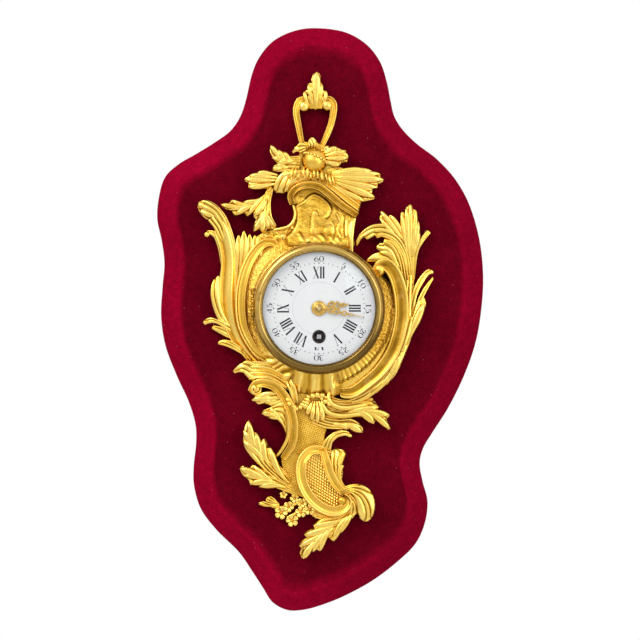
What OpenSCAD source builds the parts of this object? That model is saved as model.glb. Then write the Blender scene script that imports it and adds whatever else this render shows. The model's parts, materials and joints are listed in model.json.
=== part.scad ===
// A small cartel wall clock: a gilt cast case on a shaped, velvet-covered board.
// Millimetres, +Z up. The wall is the plane y = 0 and the dial faces -Y.
// The origin is the hanger's keyhole, on the wall plane above the dial.
// Parts are drawn in clock axes and hung in place:
// x right and y up from the dial's centre, z out from the wall.

/* [Board] */
// thickness of the wooden board
board_thickness = 16; // [16:0.5:20]
// width of the bevel round the board
bevel_width = 12; // [8:0.5:14]
// how far the bevel falls at the board's edge
bevel_drop = 8; // [4:0.5:10]
// thickness of the velvet
velvet_thickness = 1.2; // [0.8:0.1:1.6]
// width of the hem turned over at the back
hem_width = 12; // [8:0.5:14]
// radius of a hem tack's head
tack_head_radius = 2.2; // [1.6:0.1:2.8]
// distance of the hanger's keyhole below the board's top
hanger_inset = 34.5; // [32:0.5:38]
// radius of the keyhole's round hole
keyhole_radius = 5; // [4.5:0.1:5.5]
// width of the keyhole's slot
keyhole_slot = 5; // [4:0.1:5.5]
// thickness of the hanger plate
hanger_thickness = 2; // [1.5:0.1:2.5]

/* [Case] */
// height of the case's seat for the dial ring, above the velvet
seat_height = 13.8; // [13.8:0.1:15]
// half-width of the two C-scrolls
scroll_half_width = 3.4; // [2.8:0.1:3.8]
// radius of a bead in the garland
bead_radius = 1.25; // [1:0.05:1.5]
// radius of a fixing stud
stud_radius = 2.5; // [2:0.1:3]

/* [Dial and bezel] */
// radius of the enamel dial
dial_radius = 37.6; // [34:0.1:41]
// thickness of the dial
dial_thickness = 1.4; // [1.2:0.1:1.5]
// radius of the dial's winding hole
winding_hole_radius = 3.3; // [2.8:0.1:3.5]
// height of the bezel
bezel_height = 5.2; // [4.8:0.1:5.6]
// thickness of the glass
glass_thickness = 1.2; // [1:0.1:1.4]
// rise of the glass's dome
glass_sag = 5; // [4.4:0.1:6]
// radius of the bezel's hinge pin
hinge_pin_radius = 0.7; // [0.5:0.05:0.8]
// length of the hour hand
hour_hand_length = 20.6; // [18:0.2:22]
// length of the minute hand
minute_hand_length = 30.5; // [28:0.5:32]
// where the hour hand points, clockwise from twelve
hour_angle = 82; // [0:1:359]
// where the minute hand points, clockwise from twelve
minute_angle = 101; // [0:1:359]

/* [Movement] */
// thickness of each plate
plate_thickness = 2; // [1.6:0.1:2.2]
// space between the plates
plate_gap = 16; // [16:0.1:16.6]
// radius of a pillar
pillar_radius = 2; // [1.6:0.1:2.4]
// side of the winding square
winding_square = 2.8; // [2.5:0.05:2.8]
// thickness of the mainspring
mainspring_thickness = 0.4; // [0.3:0.05:0.5]
// radius of the balance's rim
balance_radius = 6.5; // [6:0.1:6.7]
// clearance of a pivot or bore, on the radius
running_clearance = 0.05; // [0.03:0.01:0.06]

/* [Hidden] */
gilt = [0.87, 0.66, 0.25];
brass = [0.80, 0.66, 0.36];
steel = [0.55, 0.57, 0.62];
blued = [0.20, 0.24, 0.36];
wood = [0.55, 0.40, 0.26];
crimson = [0.42, 0.02, 0.10];
enamel = [0.95, 0.95, 0.93];
clear_glass = [0.80, 0.90, 0.95, 0.35];
round_steps = 64;
fine_steps = 32;

// the ornament and the train are drawn for a dial of radius 37.6, and grow with it
size = dial_radius / 37.6;
board_top = 184.5 * size;
// height of the keyhole above the dial's centre
hang_drop = board_top - hanger_inset;

// depths out from the wall
velvet_front = board_thickness + velvet_thickness;
hem_depth = 2;
hem_back = hem_depth - velvet_thickness;
hem_gap = 0.2;
velvet_ease = 0.1;
flange_thickness = 2;
// front face of the movement's front plate, from which the movement is measured
plate_front = velvet_front + seat_height - flange_thickness;
plate_back = plate_front - 2 * plate_thickness - plate_gap;
back_inner = plate_back + plate_thickness;
front_inner = plate_front - plate_thickness;

// radii that fit one another round the dial
fit_gap = 0.2;
plate_radius = dial_radius - 2.6;
drum_wall = 1;
drum_radius = plate_radius + fit_gap + drum_wall;
board_hole = drum_radius + 0.6;
flange_radius = dial_radius + 0.4;
flange_inner = dial_radius - 6.6;
ring_radius = dial_radius + 4;
case_hole = flange_radius + 0.4;
bezel_inner = dial_radius - 1;
bezel_radius = dial_radius + 5.4;
dial_ledge = dial_radius - 2.1;

// depths of the dial work, out from the front plate
dial_back = 4.6;
dial_front = dial_back + dial_thickness;
ring_front = dial_back + 1.6;
bezel_back = ring_front + 0.2;
glass_back = bezel_back + 0.8;
glass_rim = glass_back + glass_thickness;
bezel_front = bezel_back + bezel_height;
hour_hand_back = dial_back + 2.1;
hand_thickness = 0.4;
minute_hand_back = hour_hand_back + 0.9;
hand_nut_back = minute_hand_back + hand_thickness;
hand_nut_height = 1.2;

// the bezel's hinge
hinge_x = -(dial_radius + 5.6);
hinge_z = dial_back - 0.1;
knuckle_radius = 1.5;
knuckle_half = 6;
knuckle_gap = 0.2;
hinge_half = 13;
fixed_knuckle = hinge_half - knuckle_half - knuckle_gap;
hinge_leaf = 5.5;
pin_bore_half = 20;
notch_half = 14.5;

// the going train: module and teeth of each mesh, and where the arbors stand
pressure_angle = 20;
tooth_share = 0.40;
tooth_addendum = 0.8;
tooth_root = 1.1;
barrel_module = 0.38 * size;
barrel_teeth = 80;
intermediate_module = 0.30 * size;
intermediate_teeth = 60;
centre_module = 0.22 * size;
centre_teeth = 75;
third_module = 0.20 * size;
fourth_module = 0.18 * size;
train_teeth = 80;
pinion_leaves = 10;
escape_leaves = 8;
cannon_module = 0.25 * size;
cannon_leaves = 12;
minute_teeth = 36;
hour_module = 0.24 * size;
hour_teeth = 40;

function spread(m, a, b) = m * (a + b) / 2;
function toward(p, d, a) = [p[0] + d * cos(a), p[1] + d * sin(a)];
function heading(a, b) = atan2(b[1] - a[1], b[0] - a[0]);
// where a leaf of the driven gear of nb teeth must point to mesh with a wheel of na teeth
function mesh_phase(a, b, na, nb) = let (h = heading(a, b)) h + 180 + h * na / nb + 180 / nb;

centre_at = [0, 0];
barrel_at = [0, -18.5 * size];
barrel_reach = spread(barrel_module, barrel_teeth, pinion_leaves);
intermediate_reach = spread(intermediate_module, intermediate_teeth, pinion_leaves);
// the intermediate arbor stands at both reaches, left of the line from barrel to centre
arbor_span = -barrel_at[1];
intermediate_rise = (barrel_reach ^ 2 - intermediate_reach ^ 2 + arbor_span ^ 2) / (2 * arbor_span);
intermediate_at = [-sqrt(barrel_reach ^ 2 - intermediate_rise ^ 2), barrel_at[1] + intermediate_rise];
third_at = toward(centre_at, spread(centre_module, centre_teeth, pinion_leaves), 60);
fourth_at = toward(third_at, spread(third_module, train_teeth, pinion_leaves), 175);
escape_at = toward(fourth_at, spread(fourth_module, train_teeth, escape_leaves), 120);
lever_at = [escape_at[0] + 4.6 * size, escape_at[1]];
balance_at = [lever_at[0] + 6 * size, escape_at[1]];
cock_foot = [balance_at[0] + balance_radius + 3.6, escape_at[1]];
minute_at = toward(centre_at, spread(cannon_module, cannon_leaves, minute_teeth), 20);

// heights of the train over the back plate's inner face
intermediate_wheel_z = 0.5;
centre_pinion_z = 0.3;
centre_wheel_z = 2;
third_pinion_z = 1.8;
great_wheel_z = 3.4;
great_wheel_t = 1.2;
third_wheel_z = 6;
fourth_pinion_z = 5.8;
fourth_wheel_z = 9;
escape_pinion_z = 8.8;
wheel_t = 0.8;
leaf_t = 1.3;
barrel_wall = 0.8;
barrel_radius = 14.6 * size;
barrel_front = plate_gap - 0.8;
arbor_core = 3.6;
arbor_radius = 1.95;
barrel_pivot = 1.2;
train_arbor = 0.6;
pivot_radius = 0.4;
centre_arbor = 0.9;
centre_post = 1;
cannon_pipe = 1.65;
hour_bore = 1.75;
hour_pipe = 2.3;
stud_post = 0.7;

// the platform behind the back plate
platform_t = 1.4;
platform_face = plate_back - platform_t;
escape_wheel_back = platform_face - 0.9;
escape_wheel_t = 0.4;
escape_wheel_radius = 3.6 * size;
lever_t = 0.5;
balance_back = platform_face - 4.2;
balance_t = 0.8;
spring_back = balance_back - 0.8;
spring_t = 0.4;
cock_t = 0.7;
cock_back = spring_back - 1;
index_t = 0.3;
index_back = cock_back - index_t - 0.05;
staff_radius = 0.4;
drum_back = plate_back - 8;
cover_t = 0.8;

// fixings
screw_shank = 1;
screw_head = 1.8;
screw_head_t = 0.9;
pillar_circle = 28.5 * size;
pillar_angles = [40, 140, -35, -145];
ring_screw_circle = dial_radius - 4.6;
ring_screw_head = 1.5;
ring_screw_angles = [90, 210, 330];
foot_circle = 27 * size;
foot_radius = 1;
foot_angles = [20, 200];
stud_places = size * [[2, 66], [-14, -62], [2, -112]];
nut_radius = 5;
nut_t = 3.5;
counterbore = 6;
counterbore_depth = 6;
hanger_half = [18, 12];
hanger_screw_x = 13;
slot_rise = 8;
head_room = 6;
tack_count = 26;
tack_shank = 0.5;
tack_length = 5;

// clock axes into the hung frame
module hung() {
    translate([0, 0, -hang_drop]) rotate([90, 0, 0]) children();
}

// a place on the dial plane, z out from the wall
module at(p, z) {
    translate([p[0], p[1], z]) children();
}

module rod(r, h) {
    cylinder(r = r, h = h, $fn = fine_steps);
}

module tube(inner, outer, h) {
    rotate_extrude($fn = round_steps) translate([inner, 0]) square([outer - inner, h]);
}

// Curves

// a smooth curve through the points p, at t counted in points
function curve_at(p, t) = let (
    n = len(p) - 1,
    i = min(floor(t), n - 1),
    f = t - i,
    a = p[max(i - 1, 0)],
    b = p[i],
    c = p[i + 1],
    e = p[min(i + 2, n)]
) 0.5 * (2 * b + (c - a) * f + (2 * a - 5 * b + 4 * c - e) * f ^ 2 + (3 * b - a - 3 * c + e) * f ^ 3);

function curve(p, n) = [for (k = [0:n]) curve_at(p, k * (len(p) - 1) / n)];

// points drawn for the standard dial, at this clock's size, with heights kept
function sized(p) = [for (q = p) len(q) > 2 ? [q[0] * size, q[1] * size, q[2]] : q * size];

// a smooth curve through a closed outline, at t counted in points
function ring_at(p, t) = let (
    n = len(p),
    i = floor(t),
    f = t - i,
    a = p[(i - 1 + n) % n],
    b = p[i % n],
    c = p[(i + 1) % n],
    e = p[(i + 2) % n]
) 0.5 * (2 * b + (c - a) * f + (2 * a - 5 * b + 4 * c - e) * f ^ 2 + (3 * b - a - 3 * c + e) * f ^ 3);

function outline(p, n) = [for (k = [0:n - 1]) ring_at(p, k * len(p) / n)];

function unit2(v) = let (l = norm([v[0], v[1]])) [v[0] / l, v[1] / l];
function side_of(p, k) = let (
    n = len(p) - 1,
    t = unit2(p[min(k + 1, n)] - p[max(k - 1, 0)])
) [-t[1], t[0]];

// a closed skin over rings of equal length, each end drawn to a point
module skin(rings, first, last) {
    m = len(rings);
    n = len(rings[0]);
    points = concat([for (r = rings) each r], [first, last]);
    sides = [for (i = [0:m - 2], j = [0:n - 1]) let (k = (j + 1) % n)
        each [[i * n + j, i * n + k, (i + 1) * n + k], [i * n + j, (i + 1) * n + k, (i + 1) * n + j]]];
    near_end = [for (j = [0:n - 1]) [m * n, (j + 1) % n, j]];
    far_end = [for (j = [0:n - 1]) [m * n + 1, (m - 1) * n + j, (m - 1) * n + (j + 1) % n]];
    polyhedron(points, concat(sides, near_end, far_end), convexity = 6);
}

// a skin over rings that close on themselves
module ring_skin(rings) {
    m = len(rings);
    n = len(rings[0]);
    faces = [for (i = [0:m - 1], j = [0:n - 1]) let (k = (j + 1) % n, l = (i + 1) % m)
        each [[i * n + j, i * n + k, l * n + k], [i * n + j, l * n + k, l * n + j]]];
    polyhedron([for (r = rings) each r], faces, convexity = 6);
}

// a ring of the swept section at step k of the spine p: section points are [across, rise]
function section_ring(p, k, half, section, shift = 0, floor_h = 0) = let (
    s = side_of(p, k),
    t = [s[1], -s[0]]
) [for (q = section) [
    p[k][0] + s[0] * q[0] * half + t[0] * shift * abs(q[0]),
    p[k][1] + s[1] * q[0] * half + t[1] * shift * abs(q[0]),
    max(floor_h, p[k][2] + q[1])
]];

// Ornament, with heights over the velvet

leaf_thickness = 2.6;
// a leaf narrows between two lobes and widens at each
leaf_pinch = 0.74;
leaf_swell = 1.1;
leaf_rings = 2;

// a lobed leaf along the points p, of half-width w, with a raised midrib
module leaf(p, w, lobes = 4, rib = 1.2) {
    n = leaf_rings * lobes;
    spine = curve(sized(p), n + 2);
    half = w * size;
    rings = [for (k = [1:n + 1]) let (
        u = k / (n + 2),
        body = 0.35 + 0.65 * sin(180 * u ^ 0.8),
        lobe = k % leaf_rings == 0 ? leaf_pinch : leaf_swell,
        // the root stands on the velvet and the tip lifts off it
        under = -max(leaf_thickness, (1.3 - 3 * u) * spine[k][2])
    ) section_ring(spine, k, half * body * lobe,
        [[-1, -0.5], [0, rib], [1, -0.5], [0.6, under], [-0.6, under]], half / 4)];
    tip = spine[n + 2];
    root = spine[0];
    skin(rings, [root[0], root[1], root[2] / 2], [tip[0], tip[1], max(0.2, tip[2] - 0.6)]);
}

// a moulded scroll along the points p, solid down to the velvet, with a rolled ridge each side of a hollow
module scroll(p, w, foot = 0, steps = 2) {
    n = steps * (len(p) - 1);
    spine = curve(sized(p), n);
    rings = [for (k = [1:n - 1]) let (
        u = k / n,
        half = w * size * (0.55 + 0.45 * sin(180 * u)),
        h = spine[k][2]
    ) section_ring(spine, k, half, [[-1, -2.4], [-0.9, -0.6], [-0.45, 0.4], [0, -0.9], [0.45, 0.4],
        [0.9, -0.6], [1, -2.4], [0.85, foot - h], [-0.85, foot - h]], 0, foot)];
    a = spine[0];
    b = spine[n];
    skin(rings, [a[0], a[1], max(foot, a[2] - 2)], [b[0], b[1], max(foot, b[2] - 2)]);
}

// a plain round stem along the points p
module stem(p, r, steps = 3) {
    n = steps * (len(p) - 1);
    spine = curve(sized(p), n);
    section = [for (a = [90:-60:-210]) [cos(a), r * (sin(a) - 0.1)]];
    rings = [for (k = [1:n - 1]) section_ring(spine, k, r, section)];
    skin(rings, spine[0], spine[n]);
}

berry_steps = 8;

module berry(x, y, h, r) {
    translate([x * size, y * size, max(h, 0.75 * r * size)]) sphere(r = r * size, $fn = berry_steps);
}

// a flat ground through the outline points p, lying on the velvet
module ground(p, h, n = 30) {
    linear_extrude(height = h) polygon(outline(sized(p), n));
}

// one casting: everything in it is one skin of metal on the velvet
module cast() {
    color(gilt) hung() translate([0, 0, velvet_front]) resize([0, 0, 0]) union() children();
}

// The board

board_points = [[-3, board_top / size], [15, 182], [28, 174], [37, 163], [42, 150], [45, 138], [48, 127],
    [54, 117], [64, 108], [78, 99], [90, 85], [99, 68], [105, 45], [108, 20], [106, -5], [102, -25],
    [94, -45], [84, -65], [74, -82], [68, -93], [66, -103], [68, -115], [70.5, -128], [69, -142],
    [62, -155], [50, -167], [34, -179], [16, -189], [0, -195], [-12, -198], [-21, -198], [-29, -193],
    [-35, -184], [-42, -173], [-52, -160], [-66, -146], [-76, -132], [-81, -118], [-82, -105], [-81, -90],
    [-82, -77], [-87, -62], [-95, -45], [-101, -25], [-103, -5], [-102, 15], [-101, 30], [-103, 45],
    [-106, 60], [-105, 75], [-100, 86], [-90, 94], [-78, 101], [-66, 108], [-56, 116], [-50, 126],
    [-47, 138], [-43, 155], [-37, 166], [-28, 176], [-16, 182.5]];
board_steps = 78;
board_edge = [for (k = [board_steps:-1:1]) ring_at(sized(board_points),
    k * len(board_points) / board_steps)];
// the way in from the edge at each point, evened out over its neighbours
inward_reach = 2;
board_inward = [for (k = [0:board_steps - 1]) let (
    ahead = board_edge[(k + inward_reach) % board_steps],
    behind = board_edge[(k - inward_reach + board_steps) % board_steps],
    d = ahead - behind
) unit2([-d[1], d[0]])];

function edge_ring(inset,
    z) = [for (k = [0:board_steps - 1]) let (q = board_edge[k] + board_inward[k] * inset)
    [q[0], q[1], z]];
function hole_ring(inset, r, z) = [for (q = edge_ring(inset, z)) let (l = norm([q[0], q[1]]))
    [q[0] * r / l, q[1] * r / l, z]];

core_ring = 25;
bevel_z = board_thickness - bevel_drop;

module tack_places(z) {
    for (k = [0:tack_count - 1]) let (
        i = round(k * board_steps / tack_count) % board_steps,
        q = board_edge[i] + board_inward[i] * (hem_width / 2 + 1)
    ) at(q, z) children();
}

module stud_places(z) {
    for (p = stud_places) at(p, z) children();
}

module keyhole_outline(r, w) {
    circle(r = r, $fn = round_steps);
    translate([0, slot_rise]) circle(r = w / 2, $fn = round_steps);
    translate([-w / 2, 0]) square([w, slot_rise]);
}

module board_panel() {
    color(wood) hung() difference() {
        ring_skin([
            hole_ring(bevel_width, core_ring, board_thickness),
            edge_ring(bevel_width, board_thickness),
            edge_ring(velvet_thickness, bevel_z),
            edge_ring(velvet_thickness, hem_depth),
            edge_ring(hem_width, hem_depth),
            edge_ring(hem_width, 0),
            hole_ring(hem_width, core_ring, 0)
        ]);
        at([0, 0], -1) cylinder(r = board_hole, h = board_thickness + 2, $fn = round_steps);
        stud_places(-1) rod(stud_radius + fit_gap, board_thickness + 2);
        stud_places(-1) rod(counterbore, counterbore_depth + 1);
        translate([-hanger_half[0], hang_drop - hanger_half[1], -1])
            cube([2 * hanger_half[0], 2 * hanger_half[1], hanger_thickness + 1]);
        at([0, hang_drop], 0) linear_extrude(height = hanger_thickness + head_room)
            keyhole_outline(keyhole_radius + 0.5, 2 * keyhole_radius - 1);
        for (x = [-hanger_screw_x, hanger_screw_x])
            at([x, hang_drop], 0) rod(screw_shank + running_clearance,
                board_thickness / 2 + running_clearance);
        tack_places(hem_depth - 1) rod(tack_shank + running_clearance, tack_length);
    }
}

module velvet_cover() {
    color(crimson) hung() difference() {
        ring_skin([
            hole_ring(bevel_width, core_ring, board_thickness),
            hole_ring(bevel_width, core_ring, velvet_front),
            edge_ring(bevel_width, velvet_front),
            edge_ring(0, bevel_z + velvet_thickness / 2),
            edge_ring(0, hem_back),
            edge_ring(hem_width - hem_gap, hem_back),
            edge_ring(hem_width - hem_gap, hem_depth),
            edge_ring(velvet_thickness - velvet_ease, hem_depth),
            edge_ring(velvet_thickness - velvet_ease, bevel_z),
            edge_ring(bevel_width - velvet_ease, board_thickness)
        ]);
        at([0, 0], board_thickness - 1) cylinder(r = board_hole, h = velvet_thickness + 2,
            $fn = round_steps);
        stud_places(board_thickness - 1) rod(stud_radius + fit_gap, velvet_thickness + 2);
        tack_places(-1) rod(tack_shank + running_clearance, hem_depth + 2);
    }
}

module velvet_tacks() {
    color(steel) hung() tack_places(hem_back - 0.7) {
        rod(tack_head_radius, 0.7);
        rod(tack_shank, hem_depth + tack_length - 1.5);
    }
}

module hanger_plate() {
    color(steel) hung() at([0, hang_drop], 0) difference() {
        linear_extrude(height = hanger_thickness) difference() {
            square(2 * [hanger_half[0] - fit_gap, hanger_half[1] - fit_gap], center = true);
            translate([0, slot_rise]) circle(r = keyhole_slot / 2, $fn = round_steps);
            translate([-keyhole_slot / 2, 0]) square([keyhole_slot, slot_rise]);
        }
        translate([0, 0, -1]) cylinder(r = keyhole_radius, h = hanger_thickness + 2, $fn = round_steps);
        for (x = [-hanger_screw_x, hanger_screw_x]) {
            translate([x, 0, -1]) rod(screw_shank + running_clearance, hanger_thickness + 2);
            translate([x, 0, -1]) rod(screw_head + running_clearance, 1 + screw_head_t);
        }
    }
}

module hanger_screws() {
    color(steel) hung() for (x = [-hanger_screw_x, hanger_screw_x]) at([x, hang_drop], 0) {
        translate([0, 0, fit_gap]) rod(screw_head, screw_head_t - fit_gap);
        translate([0, 0, fit_gap]) rod(screw_shank, board_thickness / 2 - fit_gap);
    }
}

// The case, cast in pieces

// outer edge of the cartouche's ground, every 30 degrees from the right
ground_edge = [53, 53, 47, 46, 50, 53, 50, 50, 55, 60, 57, 54];
ground_steps = 72;
shell_from = 228;
shell_to = 338;
flute_depth = 1.5;
flute_pitch = 10;

function edge_radius(a) = size * ring_at([for (r = ground_edge) [r, 0]], a / 30)[0];
function fluted(a) = a > shell_from && a < shell_to ? flute_depth * cos(360 * a / flute_pitch) : 0;
function polar_ring(f, z) = [for (k = [0:ground_steps - 1]) let (a = k * 360 / ground_steps, r = f(a))
    [r * cos(a), r * sin(a), z(a)]];

left_scroll = [[-26, 37, 8], [-31, 42.5, 9], [-38, 40.5, 11], [-45, 31, 12], [-50, 18, 12.5],
    [-52, 3, 12.5], [-50, -12, 12.5], [-45, -23, 12], [-39, -31, 11], [-33, -34, 9]];
right_scroll = [[36.5, 24, 8], [36, 28, 9], [40, 31.5, 10.5], [45, 30, 11.5], [50, 22, 12.5],
    [53.5, 10, 13], [54.5, -3, 13], [53, -16, 13], [48.5, -29, 12.5], [41, -40, 12], [32, -48, 11.5],
    [22, -53, 11], [12, -57, 9]];

module case_shape() {
    difference() {
        union() {
            ring_skin([
                polar_ring(function(a) case_hole, function(a) 0),
                polar_ring(function(a) case_hole, function(a) seat_height),
                polar_ring(function(a) ring_radius + 0.6, function(a) seat_height),
                polar_ring(function(a) ring_radius + 2, function(a) seat_height - 2.5),
                polar_ring(function(a) (ring_radius + edge_radius(a)) / 2 + 1,
                    function(a) seat_height - 4.5 + fluted(a)),
                polar_ring(function(a) edge_radius(a) - 1, function(a) 6.5 + fluted(a) / 2),
                polar_ring(function(a) edge_radius(a), function(a) 4.5),
                polar_ring(function(a) edge_radius(a), function(a) 0)
            ]);
            difference() {
                union() {
                    scroll(left_scroll, scroll_half_width);
                    scroll(right_scroll, scroll_half_width);
                    berry(39.5, 27, 8, 3.6);
                    leaf([[62, 18, 4], [60, 0, 7], [57, -15, 8.5], [54, -30, 8.5], [48, -43, 8.5],
                        [38, -53, 8], [25, -60, 7.5], [15, -62, 6.5], [8, -60, 5.5]], 5.5, 9);
                }
                cylinder(r = ring_radius + 0.6, h = 30, $fn = ground_steps);
            }
        }
        // room for the bezel's hinge
        translate([hinge_x - 2.4, -notch_half, seat_height + 0.3]) cube([5, 2 * notch_half, 10]);
    }
}

module case_body() {
    cast() case_shape();
}

hood_arch = [[-20, 70, 9], [-15, 79, 11], [-6, 82, 12], [3, 80, 12], [9, 75, 11.5], [17, 68, 10.5],
    [26, 62, 9]];

module hood_shape() {
    ground([[-17, 41], [-15, 62], [-17, 68], [-18, 74], [-14, 79], [-6, 81], [3, 79], [10, 73], [18, 66],
        [25, 61], [24, 56], [22, 49], [22, 40], [2, 42]], 5, 40);
    scroll(hood_arch, 3.4);
    scroll([[20.5, 38, 9], [21, 49, 10], [21.5, 58, 9.5]], 2.6);
    scroll([[-16, 40, 8], [-15.5, 54, 9], [-17, 68, 9]], 2.4);
    leaf([[-8, 44, 6], [-4, 56, 8], [1, 66, 9], [4, 73, 8]], 6, 5);
    leaf([[8, 44, 6], [8, 52, 8], [12, 58, 8.5], [16, 60, 7]], 4, 4);
}

module hood() {
    cast() difference() {
        hood_shape();
        case_shape();
    }
}

fruit_at = [-3 * size, 97 * size, 6];
fruit_radius = 8.4 * size;
fruit_bead = 1.1;
fruit_beads = 18;
fruit_room = 0.15;

// the fruit with its band of beads, larger all round by the room given
module fruit_shape(room, steps) {
    translate(fruit_at) sphere(r = fruit_radius + room, $fn = steps);
    for (k = [0:fruit_beads - 1]) let (a = k * 360 / fruit_beads) translate(fruit_at)
        translate(fruit_radius * [cos(a), -0.2 * sin(a) - 0.1, sin(a)])
            sphere(r = fruit_bead + room, $fn = max(13, steps / 3));
}

module crest_shape() {
    ground([[-22, 84], [-16, 92], [-13, 103], [-8, 108], [0, 109], [7, 105], [11, 96], [18, 88], [16, 80],
        [6, 78], [-8, 82]], 4);
    leaf([[-9, 94, 4], [-20, 98, 7], [-27, 101, 8], [-31, 106, 7]], 5, 4);
    leaf([[-12, 88, 5], [-22, 92, 7], [-27, 92, 7], [-31, 91, 6]], 4, 4);
    leaf([[-18, 84, 4], [-30, 86, 6], [-40, 86.5, 6.5], [-48.5, 84.5, 5.5]], 4.5, 5);
    leaf([[4, 100, 5], [11, 103, 8], [17, 102, 8], [19, 97, 6]], 4, 4);
    leaf([[8, 90, 5], [20, 91, 8], [30, 88, 7.5], [42, 84, 6]], 5.5, 6);
    leaf([[10, 84, 6], [22, 81, 8], [30, 76, 7.5], [37, 72, 6]], 5, 5);
    leaf([[-8, 104, 5], [-10, 107, 7], [-10.5, 110.5, 6]], 3, 3);
    leaf([[2, 104, 5], [1, 107, 7], [-3, 111, 6]], 3.2, 3);
    for (x = [-18:6:12]) leaf([[x * 0.8, 83, 8], [x * 0.9, 88, 10], [x, 93, 10.5],
        [x * 1.05, 96, 9]], 3, 2);
}

module crest_leaves() {
    cast() difference() {
        crest_shape();
        hood_shape();
        translate(fruit_at) sphere(r = fruit_radius + fruit_bead + fruit_room, $fn = 24);
    }
}

module fruit() {
    color(gilt) hung() translate([0, 0, velvet_front]) intersection() {
        fruit_shape(0, round_steps);
        translate(fruit_at - [2, 2, 0] * fruit_radius - [0, 0, fruit_at[2]]) cube(4 * fruit_radius);
    }
}

module loop_shape() {
    scroll([[-10, 106, 4], [-11.5, 110, 4.5], [-13.5, 120, 5], [-15, 130, 5.5], [-13, 136.5, 5.5],
        [-9, 137.5, 5], [-8, 134, 4.5]], 2.4);
    scroll([[1, 105, 4], [3, 109, 4.5], [7.5, 120, 5], [9.5, 129, 5.5], [9.5, 135, 5.5], [6.5, 138, 5],
        [4, 135, 4.5]],
        2.4);
    scroll([[-11, 131.5, 4], [-2, 132.5, 5], [6, 131.5, 4]], 2.2);
    berry(-10, 133, 4, 2.6);
    berry(5.5, 134, 4, 2.6);
    leaf([[-2, 131, 4], [-2, 140, 5.5], [-2, 148, 5.5], [-1.5, 155.5, 4]], 3.4, 4);
    leaf([[-4, 132, 4], [-7, 138, 5], [-9, 144, 4]], 2.2, 3);
    leaf([[0, 132, 4], [3, 138, 5], [5, 144, 4]], 2.2, 3);
    leaf([[-3, 136, 4], [-6, 142, 5], [-7, 148, 4]], 1.8, 3);
    leaf([[-1, 136, 4], [1.5, 142, 5], [2, 148, 4]], 1.8, 3);
}

module hanging_loop() {
    cast() difference() {
        loop_shape();
        crest_shape();
        translate(fruit_at) sphere(r = fruit_radius + fruit_bead + fruit_room, $fn = 24);
    }
}

module left_spray_shape() {
    stem([[-25, 82.5, 3.5], [-28, 80.5, 4.5], [-31, 77, 5.5], [-36, 70, 6], [-42, 66, 6.5], [-50, 66, 6.5],
        [-58, 68, 6], [-65, 69, 5]], 2.2);
    leaf([[-30, 78, 4], [-35, 66, 7], [-38, 57, 8], [-39, 48, 7]], 7, 5);
    leaf([[-33, 72, 4], [-39, 62, 7], [-43, 54, 7.5], [-44, 50, 6]], 4, 4);
    leaf([[-32, 70, 4], [-30, 60, 6], [-27, 52, 6.5], [-28, 46, 5]], 4.5, 4);
    leaf([[-42, 65, 4], [-48, 69, 6.5], [-54, 74, 7], [-60, 75, 6]], 3.4, 4);
    leaf([[-48, 65, 4], [-54, 64, 6.5], [-60, 65, 7], [-66, 69, 6]], 3.4, 4);
}

module left_spray() {
    cast() difference() {
        left_spray_shape();
        case_shape();
        crest_shape();
        hood_shape();
    }
}

module frond_shape() {
    leaf([[-40, -34, 4], [-52, -18, 6.5], [-58, 0, 8], [-57, 20, 9], [-55, 35, 9], [-58, 50, 9.5],
        [-64, 60, 10], [-70, 66, 10], [-76, 68, 9], [-79, 64, 7]], 6, 11, 1.6);
    leaf([[-56, 27, 8], [-62, 40, 7.5], [-68, 48, 8], [-73, 50, 7.5], [-75.5, 46, 6]], 3.6, 5);
    leaf([[-56, -12, 4], [-65, -4, 7], [-70, 8, 8], [-68, 17, 7.5], [-63, 22, 6]], 4.2, 6);
    leaf([[-55, -14, 4], [-64, -11, 7], [-71, -7, 7.5], [-76, -8, 7], [-76, -12, 5.5]], 3.4, 5);
    leaf([[-48, -24, 4], [-57, -23, 6.5], [-63, -22, 7], [-68, -24, 5.5]], 3.2, 4);
    leaf([[-41, -31, 6], [-48, -36, 6], [-53, -39, 6.5], [-56, -43, 5]], 3.2, 4);
    leaf([[-52, 34, 5], [-51, 42, 7], [-49, 48, 7.5], [-47, 52, 6]], 2.6, 3);
}

module left_frond() {
    cast() difference() {
        frond_shape();
        case_shape();
        left_spray_shape();
    }
}

module right_spray_shape() {
    ground([[48, 24], [53, 36], [57, 40], [62, 30], [63, 16], [62, 4], [58, -14], [54, -8], [55, 8]], 4);
    leaf([[53, 36, 4], [49, 50, 7], [40, 54.5, 8], [33, 52, 7.5], [28, 47, 7], [26, 41, 5.5]], 4, 6);
    leaf([[56, 38, 4], [51, 51, 7], [46, 58.5, 7.5], [40, 64, 6]], 4.6, 5);
    leaf([[60, 28, 4], [60.5, 44, 7], [60.5, 57, 8], [60, 68, 6.5]], 5, 6);
    leaf([[60, 24, 4], [64, 37, 7], [68, 45, 7.5], [73, 51, 6]], 3, 4);
    leaf([[58, 2, 5], [62, 12, 7], [67, 20, 7.5], [75, 25, 6]], 3.6, 4);
    leaf([[62, 6, 4], [66, 12, 6.5], [70, 16, 7], [75, 19.5, 5.5]], 2.6, 4);
    leaf([[57, -20, 4], [62, -8, 7], [66, -1, 7.5], [71, 6, 6]], 4, 4);
    leaf([[51, 26, 5], [47, 36, 8], [43, 40, 8.5], [37, 41, 7]], 3.8, 4);
    leaf([[44, 32, 6], [39, 36, 8], [35, 36, 8], [30, 33, 6.5]], 3, 4);
}

module right_spray() {
    cast() difference() {
        right_spray_shape();
        case_shape();
        hood_shape();
    }
}

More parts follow.
